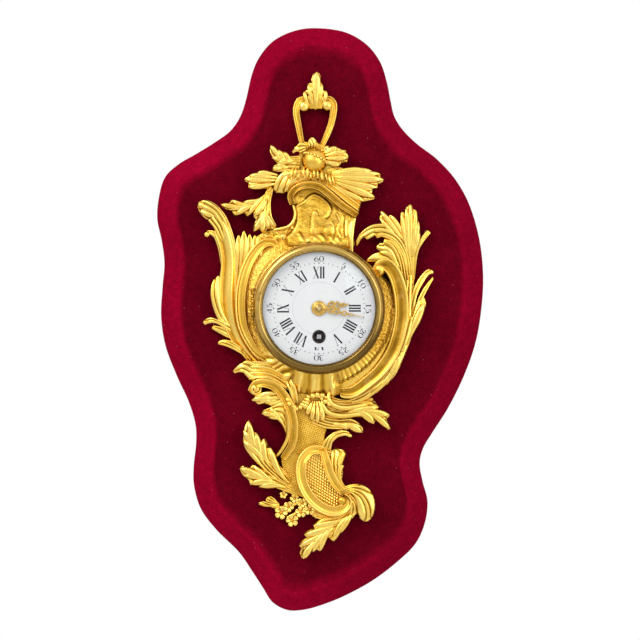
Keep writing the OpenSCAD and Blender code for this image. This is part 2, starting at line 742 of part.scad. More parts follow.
neck_scroll = [[-45, -57, 7], [-41, -51, 9], [-36, -49.5, 10], [-28, -52, 10.5], [-21, -60, 10.5],
    [-17, -72, 10.5], [-17, -83, 10], [-20, -91, 9], [-27, -99, 7]];

module neck_shape() {
    ground([[-16, -54], [5, -52], [9, -62], [7, -74], [4, -84], [3, -95], [-10, -97], [-20, -94],
        [-19, -80], [-19, -66]],
        6.5);
    scroll(neck_scroll, 4.6);
    berry(-42.5, -54, 6, 3.4);
    leaf([[-30, -54, 5], [-37, -60, 7], [-41, -64, 6.5], [-43, -69, 5]], 3.8, 4);
    leaf([[-24, -62, 5], [-31, -67, 7], [-36, -70, 6.5], [-39, -75, 5]], 3.4, 4);
    leaf([[2, -64, 6], [18, -69, 8.5], [30, -65, 8.5], [39, -66, 8], [47, -72, 6]], 5, 7);
    leaf([[24, -66, 5], [34, -70, 7], [41, -75, 7], [46, -81, 5.5]], 3.6, 4);
    leaf([[0, -72, 7], [10, -77, 8.5], [20, -75.5, 8], [30, -80, 6]], 4, 5);
    leaf([[2, -88, 7], [8, -83, 8.5], [15, -82, 8], [22, -85, 6]], 3, 4);
}

module neck() {
    cast() difference() {
        neck_shape();
        case_shape();
    }
}

garland_steps = 15;
garland_points = [[-21, -55, 9], [-15.5, -64.5, 8.2], [-8, -59, 8.2], [0, -59.5, 8.2], [6, -64, 8.4]];
garland_line = curve(sized(garland_points), garland_steps);

module garland_shape() {
    for (p = garland_line) translate(p) sphere(r = bead_radius, $fn = berry_steps);
}

module bead_garland() {
    cast() difference() {
        garland_shape();
        case_shape();
        neck_shape();
    }
}

foot_scroll = [[5, -92, 7], [-4, -91.5, 9], [-10, -97, 10.5], [-12.5, -106, 11], [-11, -116, 11],
    [-5, -126, 11], [3, -132, 11], [12, -133, 11], [18, -130, 10.5], [19, -125, 10], [15, -123, 9]];

module foot_shape() {
    ground([[2, -92], [-8, -96], [-12, -106], [-10, -117], [-4, -126], [4, -131], [13, -132], [18, -126],
        [14, -120], [16, -108], [14, -96]], 5.5);
    scroll(foot_scroll, 3.2);
    scroll([[1, -95, 8], [3, -104, 9.5], [8, -114, 9.5], [15, -121, 8.5]], 2.2);
    berry(15, -126, 7, 3);
    leaf([[5, -92, 5], [12, -98, 8], [15, -107, 8.5], [16, -114, 8], [17, -119, 6.5]], 4.5, 6);
    leaf([[16, -116, 5], [26, -115.5, 9], [33, -119, 10.5], [36, -127, 11], [34, -135, 10.5],
        [29, -139, 9]], 4, 6);
    berry(30.5, -134, 8, 3.8);
}

module foot_cartouche() {
    cast() difference() {
        foot_shape();
        neck_shape();
    }
}

module lower_left_shape() {
    ground([[-14, -116], [-20, -110], [-28, -104], [-32, -108], [-26, -115], [-18, -122]], 4, 18);
    leaf([[-13, -120, 4], [-27, -108, 7], [-37, -97, 8], [-44, -85, 8], [-47, -73, 6.5]], 7, 7);
    leaf([[-14, -121, 4], [-30, -112, 7], [-42, -109, 7.5], [-52, -105, 6]], 5, 6);
    leaf([[-28, -106, 4], [-33, -94, 7], [-37, -85, 7.5], [-38, -78, 6]], 3.6, 4);
}

module lower_left_leaves() {
    cast() difference() {
        lower_left_shape();
        foot_shape();
        neck_shape();
    }
}

petals = 5;
petal_points = 3;

// a small open flower: lobed petals round a raised eye
module flower(x, y, h, r) {
    n = petals * petal_points;
    function lobed(share, z) = [for (k = [0:n - 1]) let (
        a = -k * 360 / n,
        lobe = k % petal_points == 0 ? leaf_pinch : 1
    ) [size * (x + share * r * lobe * cos(a)), size * (y + share * r * lobe * sin(a)), h + z]];
    skin([lobed(0.6, -h), lobed(0.95, 0), lobed(0.6, 0.3 * r), lobed(0.25, 0.1 * r)],
        [x * size, y * size, 0], [x * size, y * size, h + 0.4 * r]);
}

module sprig_shape() {
    stem([[-8, -124, 2.5], [-16, -129, 3], [-27, -131, 3], [-36, -128, 3.5]], 1.4);
    stem([[-6, -126, 2.5], [-14, -134, 3], [-21, -138, 3]], 1.4);
    flower(-25, -135, 4, 4.6);
    flower(-18, -140, 4, 4.4);
    flower(-20, -130.5, 4.5, 3.6);
    flower(-12, -134, 4.5, 3.8);
    flower(-11, -128, 4, 3.2);
    leaf([[-24, -131, 4], [-31, -126, 5], [-34, -123, 5], [-37, -122, 4]], 2.2, 3);
    leaf([[-28, -131, 3], [-33, -130, 5], [-37, -129, 5], [-41, -129, 4]], 2, 3);
    berry(-37, -127.5, 3.5, 2);
}

module flower_sprig() {
    cast() difference() {
        sprig_shape();
        foot_shape();
        lower_left_shape();
    }
}

module tail_shape() {
    leaf([[24, -136, 4], [12, -140, 7], [2, -147, 8], [-6, -155, 7.5], [-10.5, -165, 6]], 8, 6, 1.6);
    leaf([[14, -139, 4], [9, -146, 6.5], [5, -153, 7], [-1, -160, 5.5]], 4, 4);
    leaf([[16, -138, 4], [14, -144, 6], [12, -149, 6], [8, -154, 5]], 3.4, 3);
}

module tail_leaf() {
    cast() difference() {
        tail_shape();
        foot_shape();
        sprig_shape();
    }
}

module case_studs() {
    color(brass) hung() stud_places(1.5) rod(stud_radius, velvet_front - 1.5);
}

module case_nuts() {
    color(brass) hung() stud_places(counterbore_depth - nut_t) difference() {
        cylinder(r = nut_radius, h = nut_t, $fn = 6);
        translate([0, 0, -1]) rod(stud_radius + running_clearance, nut_t + 2);
    }
}

// Dial, bezel and hands

module dial_ring() {
    color(brass) hung() translate([0, 0, plate_front]) difference() {
        union() {
            rotate_extrude($fn = round_steps) polygon([[flange_inner, 0], [flange_radius, 0],
                [flange_radius, flange_thickness], [ring_radius, flange_thickness],
                [ring_radius, ring_front], [dial_radius + fit_gap, ring_front],
                [dial_radius + fit_gap, dial_back], [dial_ledge, dial_back],
                [dial_ledge, flange_thickness], [flange_inner, flange_thickness]]);
            for (s = [-1, 1]) difference() {
                union() {
                    knuckle(s > 0 ? knuckle_half + knuckle_gap : -hinge_half, fixed_knuckle);
                    translate([hinge_x, s > 0 ? knuckle_half + knuckle_gap : -hinge_half,
                        hinge_z - knuckle_radius])
                        cube([hinge_leaf, fixed_knuckle, knuckle_radius * 1.8]);
                }
                cylinder(r = ring_radius - 1, h = 20, $fn = round_steps);
            }
        }
        hinge_bore(0);
        for (a = ring_screw_angles) rotate(a) translate([ring_screw_circle, 0, -1])
            rod(screw_shank + running_clearance, flange_thickness + 2);
    }
}

module hinge_bore(room) {
    translate([hinge_x, -pin_bore_half, hinge_z]) rotate([-90, 0, 0])
        rod(hinge_pin_radius + room, 2 * pin_bore_half);
}

module knuckle(y, length) {
    translate([hinge_x, y, hinge_z]) rotate([-90, 0, 0]) rod(knuckle_radius, length);
}

module bezel() {
    color(brass) hung() translate([0, 0, plate_front]) difference() {
        union() {
            rotate_extrude($fn = round_steps) polygon([[dial_radius + 0.1, bezel_back],
                [bezel_radius, bezel_back], [bezel_radius, bezel_back + 1.2],
                [bezel_radius - 0.8, bezel_back + 1.6], [bezel_radius - 0.9, bezel_back + 2.2],
                [bezel_radius - 1.4, bezel_back + 3.4], [bezel_radius - 2.2, bezel_back + 4.3],
                [bezel_radius - 3.2, bezel_front], [bezel_radius - 4.2, bezel_front - 0.2],
                [bezel_inner + 0.9, bezel_front - 1], [bezel_inner + 0.2, bezel_front - 2],
                [bezel_inner, glass_rim + 0.5], [bezel_inner, glass_rim], [dial_radius + 0.1, glass_rim]]);
            knuckle(-knuckle_half, 2 * knuckle_half);
            translate([hinge_x - 1.2, -knuckle_half, hinge_z])
                cube([2.4, 2 * knuckle_half, bezel_back + 0.8 - hinge_z]);
        }
        hinge_bore(running_clearance);
    }
}

module bezel_hinge_pin() {
    color(steel) hung() translate([hinge_x, -hinge_half, plate_front + hinge_z]) rotate([-90, 0, 0])
        rod(hinge_pin_radius, 2 * hinge_half);
}

glass_steps = 20;
glass_flat = dial_radius - 1.2;
glass_curve = (glass_flat ^ 2 + glass_sag ^ 2) / (2 * glass_sag);
function dome(r) = sqrt(glass_curve ^ 2 - r ^ 2) - glass_curve + glass_sag;

module glass() {
    radii = [for (k = [0:glass_steps]) glass_flat * k / glass_steps];
    color(clear_glass) hung() translate([0, 0, plate_front + glass_back]) rotate_extrude($fn = round_steps)
        polygon(concat([for (r = radii) [r, dome(r)]], [[dial_radius, 0], [dial_radius, glass_thickness]],
            [for (k = [glass_steps:-1:0]) [radii[k], dome(radii[k]) + glass_thickness]]));
}

grommet_wall = 0.5;
dial_hole = 2.9;

module dial() {
    color(enamel) hung() translate([0, 0, plate_front]) {
        difference() {
            rotate_extrude($fn = round_steps) polygon([[dial_hole, dial_back], [dial_radius, dial_back],
                [dial_radius, dial_front - 0.4], [dial_radius - 0.6, dial_front], [dial_hole, dial_front]]);
            at(barrel_at, 0) rod(winding_hole_radius + grommet_wall, 2 * dial_front);
        }
        for (a = foot_angles) rotate(a) translate([foot_circle, 0, -plate_thickness])
            rod(foot_radius, dial_back + plate_thickness + dial_thickness / 2);
    }
}

module winding_grommet() {
    color(brass) hung() at(barrel_at, plate_front) rotate_extrude($fn = round_steps)
        polygon([[winding_hole_radius, dial_back], [winding_hole_radius + grommet_wall, dial_back],
            [winding_hole_radius + grommet_wall, dial_front], [winding_hole_radius + 1.1, dial_front],
            [winding_hole_radius + 0.9, dial_front + 0.3], [winding_hole_radius, dial_front + 0.3]]);
}

// half of a hand's outline, [across, along] as a share of its length, mirrored about its line
module hand_shape(length, half, from) {
    side = curve(half, 3 * (len(half) - 1));
    points = [for (p = side) [p[0], from + (length - from) * p[1]]];
    mirrored = [for (k = [len(points) - 1:-1:0]) [-points[k][0], points[k][1]]];
    polygon(concat(points, mirrored));
}

hour_boss = 4.9;
hour_half = [[1.1, 0], [1.2, 0.12], [2.6, 0.26], [2.9, 0.4], [1.6, 0.5], [0.7, 0.56], [1.5, 0.66],
    [1.3, 0.76], [0.5, 0.86], [0.15, 1]];
minute_boss = 2.6;
minute_half = [[0.7, 0], [0.7, 0.1], [1.7, 0.2], [1.9, 0.3], [0.9, 0.4], [0.5, 0.45], [1.5, 0.52],
    [1.5, 0.58], [0.6, 0.64], [0.9, 0.72], [0.5, 0.82], [0.12, 1]];

module hour_hand() {
    color(brass) hung() translate([0, 0, plate_front + hour_hand_back]) rotate(-hour_angle)
        linear_extrude(height = hand_thickness) difference() {
            union() {
                circle(r = hour_boss, $fn = round_steps);
                hand_shape(hour_hand_length, hour_half, hour_boss - 0.4);
            }
            circle(r = hour_pipe + 0.02, $fn = round_steps);
            for (s = [-1, 1]) translate([s * 1.3, 9.8]) scale([0.6, 1.4]) circle(r = 1, $fn = fine_steps);
            translate([0, 15.2]) scale([0.6, 1]) circle(r = 0.9, $fn = fine_steps);
        }
}

module minute_hand() {
    color(brass) hung() translate([0, 0, plate_front + minute_hand_back]) rotate(-minute_angle)
        linear_extrude(height = hand_thickness) difference() {
            union() {
                circle(r = minute_boss, $fn = round_steps);
                hand_shape(minute_hand_length, minute_half, minute_boss - 0.3);
            }
            circle(r = cannon_pipe + 0.02, $fn = round_steps);
            translate([0, 9.4]) scale([0.5, 1.5]) circle(r = 1.2, $fn = fine_steps);
            translate([0, 17.6]) circle(r = 0.8, $fn = fine_steps);
        }
}

module hand_nut() {
    color(brass) hung() translate([0, 0, plate_front + hand_nut_back]) rotate_extrude($fn = round_steps)
        polygon([[centre_post + running_clearance, 0], [2.3, 0], [2.3, 0.4], [1.9, 0.9],
            [1.4, hand_nut_height], [centre_post + running_clearance, hand_nut_height]]);
}

// Toothed wheels

function involute(a) = tan(a) * 180 / PI - a;
function tooth_half(m, n, r) = let (base = m * n / 2 * cos(pressure_angle))
    tooth_share * 180 / n + involute(pressure_angle) - (r > base ? involute(acos(base / r)) : 0);
function gear_outline(m, n, phase) = let (
    radii = [m * (n / 2 - tooth_root), m * n / 2, m * (n / 2 + tooth_addendum)],
    flank = [for (r = radii) [r, tooth_half(m, n, r)]]
) [for (k = [0:n - 1], i = [0:5]) let (
    f = flank[i < 3 ? i : 5 - i],
    a = phase + 360 * k / n + (i < 3 ? -f[1] : f[1])
) f[0] * [cos(a), sin(a)]];

// a wheel with a hub, spokes and a toothed rim
module crossed_wheel(m, n, t, hub, spokes = 5, bore = 0) {
    inner = m * (n / 2 - tooth_root) - 1;
    linear_extrude(height = t) difference() {
        polygon(gear_outline(m, n, 0));
        difference() {
            circle(r = inner, $fn = round_steps);
            circle(r = hub, $fn = fine_steps);
            for (k = [0:spokes - 1]) rotate(k * 360 / spokes) translate([0, -0.4]) square([inner + 0.3,
                0.8]);
        }
        if (bore > 0) circle(r = bore, $fn = fine_steps);
    }
}

module pinion(m, n, t, phase) {
    linear_extrude(height = t) polygon(gear_outline(m, n, phase));
}

// an arbor between the plates with a pivot at each end
module arbor(r) {
    translate([0, 0, back_inner + 0.05]) rod(r, plate_gap - 0.1);
    translate([0, 0, plate_back + 0.2]) rod(pivot_radius, plate_gap + 2 * plate_thickness - 0.4);
}

module intermediate_wheel() {
    color(brass) hung() at(intermediate_at, 0) {
        arbor(0.8);
        translate([0, 0, back_inner + intermediate_wheel_z])
            crossed_wheel(intermediate_module, intermediate_teeth, wheel_t, 1.6);
        translate([0, 0, back_inner + great_wheel_z - 0.2]) pinion(barrel_module, pinion_leaves, 1.6,
            mesh_phase(barrel_at, intermediate_at, barrel_teeth, pinion_leaves));
    }
}

module centre_wheel() {
    color(brass) hung() {
        translate([0, 0, plate_back + 0.2]) rod(pivot_radius, 3);
        translate([0, 0, back_inner + 0.05]) rod(centre_arbor, plate_gap - 0.1);
        translate([0, 0, front_inner - 0.05])
            rod(centre_post, plate_thickness + hand_nut_back + hand_nut_height - 0.1);
        translate([0, 0, back_inner + centre_wheel_z]) crossed_wheel(centre_module, centre_teeth, wheel_t,
            1.9);
        translate([0, 0, back_inner + centre_pinion_z]) pinion(intermediate_module, pinion_leaves, leaf_t,
            mesh_phase(intermediate_at, centre_at, intermediate_teeth, pinion_leaves));
    }
}

module third_wheel() {
    color(brass) hung() at(third_at, 0) {
        arbor(train_arbor);
        translate([0, 0, back_inner + third_wheel_z]) crossed_wheel(third_module, train_teeth, wheel_t,
            1.5);
        translate([0, 0, back_inner + third_pinion_z]) pinion(centre_module, pinion_leaves, leaf_t,
            mesh_phase(centre_at, third_at, centre_teeth, pinion_leaves));
    }
}

module fourth_wheel() {
    color(brass) hung() at(fourth_at, 0) {
        arbor(train_arbor);
        translate([0, 0, back_inner + fourth_wheel_z]) crossed_wheel(fourth_module, train_teeth,
            wheel_t - 0.1, 1.4);
        translate([0, 0, back_inner + fourth_pinion_z]) pinion(third_module, pinion_leaves, leaf_t,
            mesh_phase(third_at, fourth_at, train_teeth, pinion_leaves));
    }
}

escape_teeth = 15;

module escape_wheel() {
    pitch = 360 / escape_teeth;
    tip = escape_wheel_radius;
    tooth = [[tip - 0.9, 0], [tip - 0.1, 0.34], [tip, 0.5], [tip - 0.8, 0.42]];
    color(brass) hung() at(escape_at, 0) {
        translate([0, 0, escape_wheel_back]) linear_extrude(height = escape_wheel_t)
            polygon([for (k = [0:escape_teeth - 1], q = tooth)
                q[0] * [cos(pitch * (k + q[1])), sin(pitch * (k + q[1]))]]);
        translate([0, 0, escape_wheel_back - 0.3]) rod(pivot_radius + 0.1, front_inner - escape_wheel_back);
        translate([0, 0, front_inner - 0.4]) rod(pivot_radius, plate_thickness);
        translate([0, 0, back_inner + escape_pinion_z]) pinion(fourth_module, escape_leaves, leaf_t - 0.1,
            mesh_phase(fourth_at, escape_at, train_teeth, escape_leaves));
    }
}

module pallet_lever() {
    color(steel) hung() at(lever_at, escape_wheel_back) linear_extrude(height = lever_t) difference() {
        scale([size, size]) {
            circle(r = 0.9, $fn = fine_steps);
            translate([-0.3, -3.6]) square([0.6, 7.2]);
            for (s = [-1, 1]) translate([-0.5, s * 3.4 - 0.35]) square([1, 0.7]);
            translate([0, -0.3]) square([4.6, 0.6]);
            for (s = [-1, 1]) translate([4.2, s * 0.55 - 0.2]) square([1, 0.4]);
            translate([4.0, -0.75]) square([0.4, 1.5]);
        }
        circle(r = staff_radius + running_clearance, $fn = fine_steps);
    }
}

module platform() {
    color(brass) hung() difference() {
        union() {
            translate([0, 0, platform_face]) linear_extrude(height = platform_t)
                translate([escape_at[0] - 4, escape_at[1] - 6.5]) square([cock_foot[0] - escape_at[0] + 7,
                    13]);
            at(lever_at, escape_wheel_back - 0.3) rod(staff_radius,
                platform_face - escape_wheel_back + 0.5);
        }
        at(escape_at, platform_face - 1) rod(pivot_radius + 0.2, platform_t + 2);
        at(balance_at, platform_face - 1) rod(staff_radius + running_clearance, platform_t + 2);
        at(cock_foot, platform_face - 1) rod(screw_shank - 0.2 + running_clearance, platform_t + 2);
    }
}

rim_screw = 0.275;

module balance_wheel() {
    color(brass) hung() at(balance_at, 0) {
        translate([0, 0, balance_back]) linear_extrude(height = balance_t) {
            difference() {
                circle(r = balance_radius, $fn = round_steps);
                circle(r = balance_radius - 0.9, $fn = round_steps);
            }
            translate([-balance_radius + 0.5, -0.4]) square([2 * balance_radius - 1, 0.8]);
            circle(r = 1.3, $fn = fine_steps);
        }
        for (a = [-60:40:60], s = [0, 180]) rotate(90 + a + s)
            translate([balance_radius - 0.2, 0, balance_back + balance_t / 2]) rotate([0, 90, 0])
                cylinder(r = rim_screw, h = 2 * rim_screw, $fn = 16);
        translate([0, 0, cock_back + 0.1]) rod(staff_radius, platform_face + 0.8 - cock_back);
        translate([0, 0, spring_back]) rod(0.95, spring_t + 0.5);
        translate([0, 0, balance_back + balance_t]) rod(1.2, 1);
        translate([-0.9, 0, balance_back + balance_t]) rod(0.2,
            escape_wheel_back - 0.2 - balance_back - balance_t);
    }
}

// a flat spiral strip from radius a to radius b
module spiral_strip(a, b, turns, t, steps) {
    n = turns * steps;
    function place(k, s) = let (
        r = a + (b - a) * k / n + s * t / 2,
        w = k * 360 / steps
    ) r * [cos(w), sin(w)];
    polygon(concat([for (k = [0:n]) place(k, 1)], [for (k = [n:-1:0]) place(k, -1)]));
}

module balance_spring() {
    color(blued) hung() at(balance_at, spring_back) linear_extrude(height = spring_t)
        spiral_strip(1.3, 4.3, 5, 0.15, 20);
}

module balance_cock() {
    span = cock_foot[0] - balance_at[0];
    color(brass) hung() {
        at(balance_at, cock_back) difference() {
            linear_extrude(height = cock_t) {
                circle(r = 1.8, $fn = fine_steps);
                translate([0, -1.3]) square([span, 2.6]);
                translate([span, 0]) circle(r = 2.2, $fn = fine_steps);
            }
            translate([0, 0, -1]) rod(staff_radius + running_clearance, cock_t + 2);
        }
        at(cock_foot, cock_back) {
            rod(2, platform_face - cock_back);
            rod(screw_shank - 0.2, platform_face + platform_t - cock_back);
        }
    }
}

module regulator_index() {
    color(steel) hung() at(balance_at, index_back) linear_extrude(height = index_t) difference() {
        union() {
            circle(r = 1.5, $fn = fine_steps);
            translate([-0.35, 0]) square([0.7, 8]);
            translate([-0.3, -4.4]) square([0.6, 4.4]);
        }
        circle(r = staff_radius + 0.2, $fn = fine_steps);
    }
}

// Barrel and winding work

module barrel() {
    color(brass) hung() at(barrel_at, back_inner + great_wheel_z) difference() {
        union() {
            linear_extrude(height = great_wheel_t) polygon(gear_outline(barrel_module, barrel_teeth, 0));
            translate([0, 0, great_wheel_t]) tube(barrel_radius - barrel_wall, barrel_radius,
                barrel_front - barrel_wall - great_wheel_z - great_wheel_t);
        }
        translate([0, 0, -1]) rod(arbor_radius + running_clearance, great_wheel_t + 2);
    }
}

module barrel_cap() {
    color(brass) hung() at(barrel_at, back_inner + barrel_front - barrel_wall)
        tube(arbor_radius + running_clearance, barrel_radius, barrel_wall);
}

mainspring_turns = 8;
spring_room = 0.3;

module mainspring() {
    low = back_inner + great_wheel_z + great_wheel_t + spring_room;
    high = back_inner + barrel_front - barrel_wall - spring_room;
    color(steel) hung() at(barrel_at, low) linear_extrude(height = high - low)
        spiral_strip(arbor_core + 0.7, barrel_radius - barrel_wall - 0.4, mainspring_turns,
            mainspring_thickness, 20);
}

ratchet_z = 0.4;
ratchet_t = 1.2;
ratchet_teeth = 24;
ratchet_radius = 6.5 * size;
ratchet_root = 5.5 * size;
square_tip = dial_front - 0.4;

module winding_arbor() {
    core_low = back_inner + great_wheel_z + great_wheel_t + 0.2;
    core_high = back_inner + barrel_front - barrel_wall - 0.2;
    color(steel) hung() at(barrel_at, 0) {
        translate([0, 0, plate_back + 0.1]) rod(barrel_pivot, plate_thickness + 0.5);
        translate([0, 0, back_inner + 0.1]) rod(arbor_radius,
            plate_gap + plate_thickness - 0.1 + ratchet_z - 0.1);
        translate([0, 0, core_low]) rod(arbor_core, core_high - core_low);
        translate([-winding_square / 2, -winding_square / 2, plate_front])
            cube([winding_square, winding_square, square_tip]);
    }
}

module ratchet_wheel() {
    pitch = 360 / ratchet_teeth;
    fit = winding_square + 0.06;
    color(steel) hung() at(barrel_at,
        plate_front + ratchet_z) linear_extrude(height = ratchet_t) difference() {
        polygon([for (k = [0:ratchet_teeth - 1], q = [[ratchet_root, 0.04], [ratchet_radius, 0.96]])
            q[0] * [cos(pitch * (k + q[1])), sin(pitch * (k + q[1]))]]);
        square(fit, center = true);
    }
}

// how far the click turns from lifted to seated in a tooth
click_turn = 9;
click_boss = 1.7;
click_post = size * [6.6, -12];
// the click's arm from its nose to its post, out from the barrel's arbor
click_arm = size * [[5.75, 0.16], [6.9, 0.05], [8.2, 3.2], [8.2, 6.2], [5.1, 6.2], [6.06, 3.5], [6.5, 1.15]];

module click() {
    // drawn seated, then lifted clear of the tooth tips
    color(steel) hung() at(click_post, plate_front + ratchet_z) rotate(click_turn)
        linear_extrude(height = ratchet_t - 0.1) difference() {
            union() {
                circle(r = click_boss, $fn = fine_steps);
                polygon([for (q = click_arm) barrel_at + q - click_post]);
            }
            circle(r = stud_post + running_clearance, $fn = fine_steps);
        }
}

module click_spring() {
    steps = 12;
    blade = curve(size * [[14, -21.5], [12, -19.4], [10.2, -17.6], [9.15, -16.2]], steps);
    edge = [for (k = [steps:-1:0]) blade[k] + 0.3 * side_of(blade, k)];
    color(steel) hung() translate([0, 0, plate_front]) {
        translate([0, 0, ratchet_z + 0.2]) linear_extrude(height = 0.6) polygon(concat(blade, edge));
        at(size * [14, -21.8], 0) rod(1.3, 1.4);
    }
}

// Motion work

cannon_z = 0.3;
cannon_height = 2.1;

module cannon_pinion() {
    color(steel) hung() translate([0, 0, plate_front + cannon_z]) difference() {
        union() {
            pinion(cannon_module, cannon_leaves, cannon_height,
                mesh_phase(minute_at, centre_at, minute_teeth, cannon_leaves));
            translate([0, 0, cannon_height])
                rod(cannon_pipe, minute_hand_back + hand_thickness - cannon_height - cannon_z);
        }
        translate([0, 0, -1]) rod(centre_post + running_clearance, 20);
    }
}

module minute_wheel() {
    color(brass) hung() at(minute_at, plate_front + 0.6) difference() {
        union() {
            crossed_wheel(cannon_module, minute_teeth, wheel_t, 2, 3);
            translate([0, 0, wheel_t]) pinion(hour_module, pinion_leaves, 2.2,
                mesh_phase(centre_at, minute_at, hour_teeth, pinion_leaves));
        }
        translate([0, 0, -1]) rod(stud_post + running_clearance, 6);
    }
}

hour_wheel_z = 2.8;

module hour_wheel() {
    color(brass) hung() translate([0, 0, plate_front]) {
        translate([0, 0, hour_wheel_z]) crossed_wheel(hour_module, hour_teeth, wheel_t, 2.6, 3, hour_bore);
        translate([0, 0, hour_wheel_z - 0.2])
            tube(hour_bore, hour_pipe, hour_hand_back + hand_thickness - hour_wheel_z + 0.2);
    }
}

// Plates and drum

module plate_round(z, t) {
    translate([0, 0, z]) cylinder(r = plate_radius, h = t, $fn = round_steps);
}

module pillar_places(z) {
    for (a = pillar_angles) at(toward(centre_at, pillar_circle, a), z) children();
}

module front_plate() {
    hole = plate_thickness + 2;
    low = front_inner - 1;
    color(brass) hung() {
        difference() {
            plate_round(front_inner, plate_thickness);
            at(centre_at, low) rod(centre_post + running_clearance, hole);
            at(barrel_at, low) rod(arbor_radius + running_clearance, hole);
            for (p = [intermediate_at, third_at, fourth_at, escape_at])
                at(p, low) rod(pivot_radius + running_clearance, hole);
            pillar_places(low) rod(screw_shank + running_clearance, hole);
            for (a = ring_screw_angles)
                at(toward(centre_at, ring_screw_circle, a), low) rod(screw_shank + running_clearance, hole);
            for (a = foot_angles)
                at(toward(centre_at, foot_circle, a), low) rod(foot_radius + running_clearance, hole);
        }
        at(minute_at, plate_front - 0.5) rod(stud_post, 4.2);
        at(click_post, plate_front - 0.5) rod(stud_post, ratchet_z + ratchet_t + 0.6);
    }
}

module back_plate() {
    hole = plate_thickness + 2;
    low = plate_back - 1;
    color(brass) hung() difference() {
        plate_round(plate_back, plate_thickness);
        at(barrel_at, low) rod(barrel_pivot + running_clearance, hole);
        for (p = [centre_at, intermediate_at, third_at, fourth_at])
            at(p, low) rod(pivot_radius + running_clearance, hole);
        at(escape_at, low) rod(pivot_radius + 0.5, hole);
        at(balance_at, low) rod(staff_radius + 0.5, hole);
        pillar_places(low) rod(screw_shank + running_clearance, hole);
    }
}

screw_reach = 4;

module pillars() {
    color(brass) hung() pillar_places(back_inner) difference() {
        rod(pillar_radius, plate_gap);
        translate([0, 0, -1]) rod(screw_shank, screw_reach + 1);
        translate([0, 0, plate_gap - screw_reach]) rod(screw_shank, screw_reach + 1);
    }
}

module plate_screws() {
    color(blued) hung() pillar_places(0) {
        translate([0, 0, plate_front]) rod(screw_head, screw_head_t);
        translate([0, 0, front_inner - screw_reach]) rod(screw_shank, screw_reach + plate_thickness);
        translate([0, 0, plate_back - screw_head_t]) rod(screw_head, screw_head_t);
        translate([0, 0, plate_back]) rod(screw_shank, screw_reach + plate_thickness);
    }
}

module movement_screws() {
    color(blued) hung() for (a = ring_screw_angles) at(toward(centre_at, ring_screw_circle, a), 0) {
        translate([0, 0, plate_front + flange_thickness]) rod(ring_screw_head, screw_head_t);
        translate([0, 0, front_inner]) rod(screw_shank, plate_thickness + flange_thickness);
    }
}

module drum_case() {
    color(brass) hung() translate([0, 0, drum_back])
        tube(drum_radius - drum_wall, drum_radius, plate_front - drum_back);
}

lip_height = 1.4;
lip_wall = 1;

module back_cover() {
    color(brass) hung() translate([0, 0, drum_back - cover_t]) {
        cylinder(r = drum_radius, h = cover_t, $fn = round_steps);
        translate([0, 0, cover_t])
            tube(drum_radius - drum_wall - lip_wall, drum_radius - drum_wall - running_clearance,
                lip_height);
    }
}

board_panel();
velvet_cover();
velvet_tacks();
hanger_plate();
hanger_screws();
case_body();
hood();
crest_leaves();
fruit();
hanging_loop();
left_spray();
left_frond();
right_spray();
neck();
bead_garland();
foot_cartouche();
lower_left_leaves();
flower_sprig();
tail_leaf();
case_studs();
case_nuts();
dial_ring();
bezel();
bezel_hinge_pin();
glass();
dial();
winding_grommet();
hour_hand();
minute_hand();
hand_nut();
cannon_pinion();
minute_wheel();
hour_wheel();
front_plate();
back_plate();
pillars();
plate_screws();
movement_screws();
barrel();
barrel_cap();
mainspring();
winding_arbor();
ratchet_wheel();
click();
click_spring();
intermediate_wheel();
centre_wheel();
third_wheel();
fourth_wheel();
escape_wheel();
pallet_lever();
platform();
balance_wheel();
balance_spring();
balance_cock();
regulator_index();
drum_case();
back_cover();
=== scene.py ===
import json
import math

import bmesh
import bpy
import numpy as np
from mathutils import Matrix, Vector, noise


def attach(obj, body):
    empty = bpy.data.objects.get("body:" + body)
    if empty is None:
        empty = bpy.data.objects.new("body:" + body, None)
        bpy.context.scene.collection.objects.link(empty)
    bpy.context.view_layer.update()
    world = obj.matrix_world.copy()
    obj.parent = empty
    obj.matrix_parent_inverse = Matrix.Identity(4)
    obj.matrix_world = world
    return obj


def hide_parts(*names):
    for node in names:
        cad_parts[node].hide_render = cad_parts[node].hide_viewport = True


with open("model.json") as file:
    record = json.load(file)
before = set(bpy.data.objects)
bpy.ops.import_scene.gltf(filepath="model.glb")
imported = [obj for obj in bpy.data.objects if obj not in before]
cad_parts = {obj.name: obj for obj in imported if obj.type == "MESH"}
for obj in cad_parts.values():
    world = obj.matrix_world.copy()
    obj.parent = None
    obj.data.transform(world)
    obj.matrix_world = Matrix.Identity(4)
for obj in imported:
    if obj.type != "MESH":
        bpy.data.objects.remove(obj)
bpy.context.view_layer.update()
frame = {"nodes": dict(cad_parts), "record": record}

# Clock axes, in millimetres: x right and y up from the dial's centre, z out from the wall.
MM = 0.001
HANG = 150.0  # from the dial's centre up to the frame's origin
VELVET = 17.2  # face of the velvet, from which the castings' heights are measured
PLATE = 29.0  # front of the movement, from which the dial work is measured
WINDING = -18.5  # height of the winding square
FOOT = 0.02  # the castings end this far above the velvet


# Curves and meshes

def to_frame(points):
    """Clock axes in millimetres to the frame's metres."""
    p = np.asarray(points, float).reshape(-1, 3)
    return np.column_stack([p[:, 0], -p[:, 2], p[:, 1] - HANG]) * MM


def blended(a, b, c, e, f):
    """Places on a smooth curve between b and c, at the share f of the way."""
    return 0.5 * (2 * b + (c - a) * f + (2 * a - 5 * b + 4 * c - e) * f**2 + (3 * b - a - 3 * c + e) * f**3)


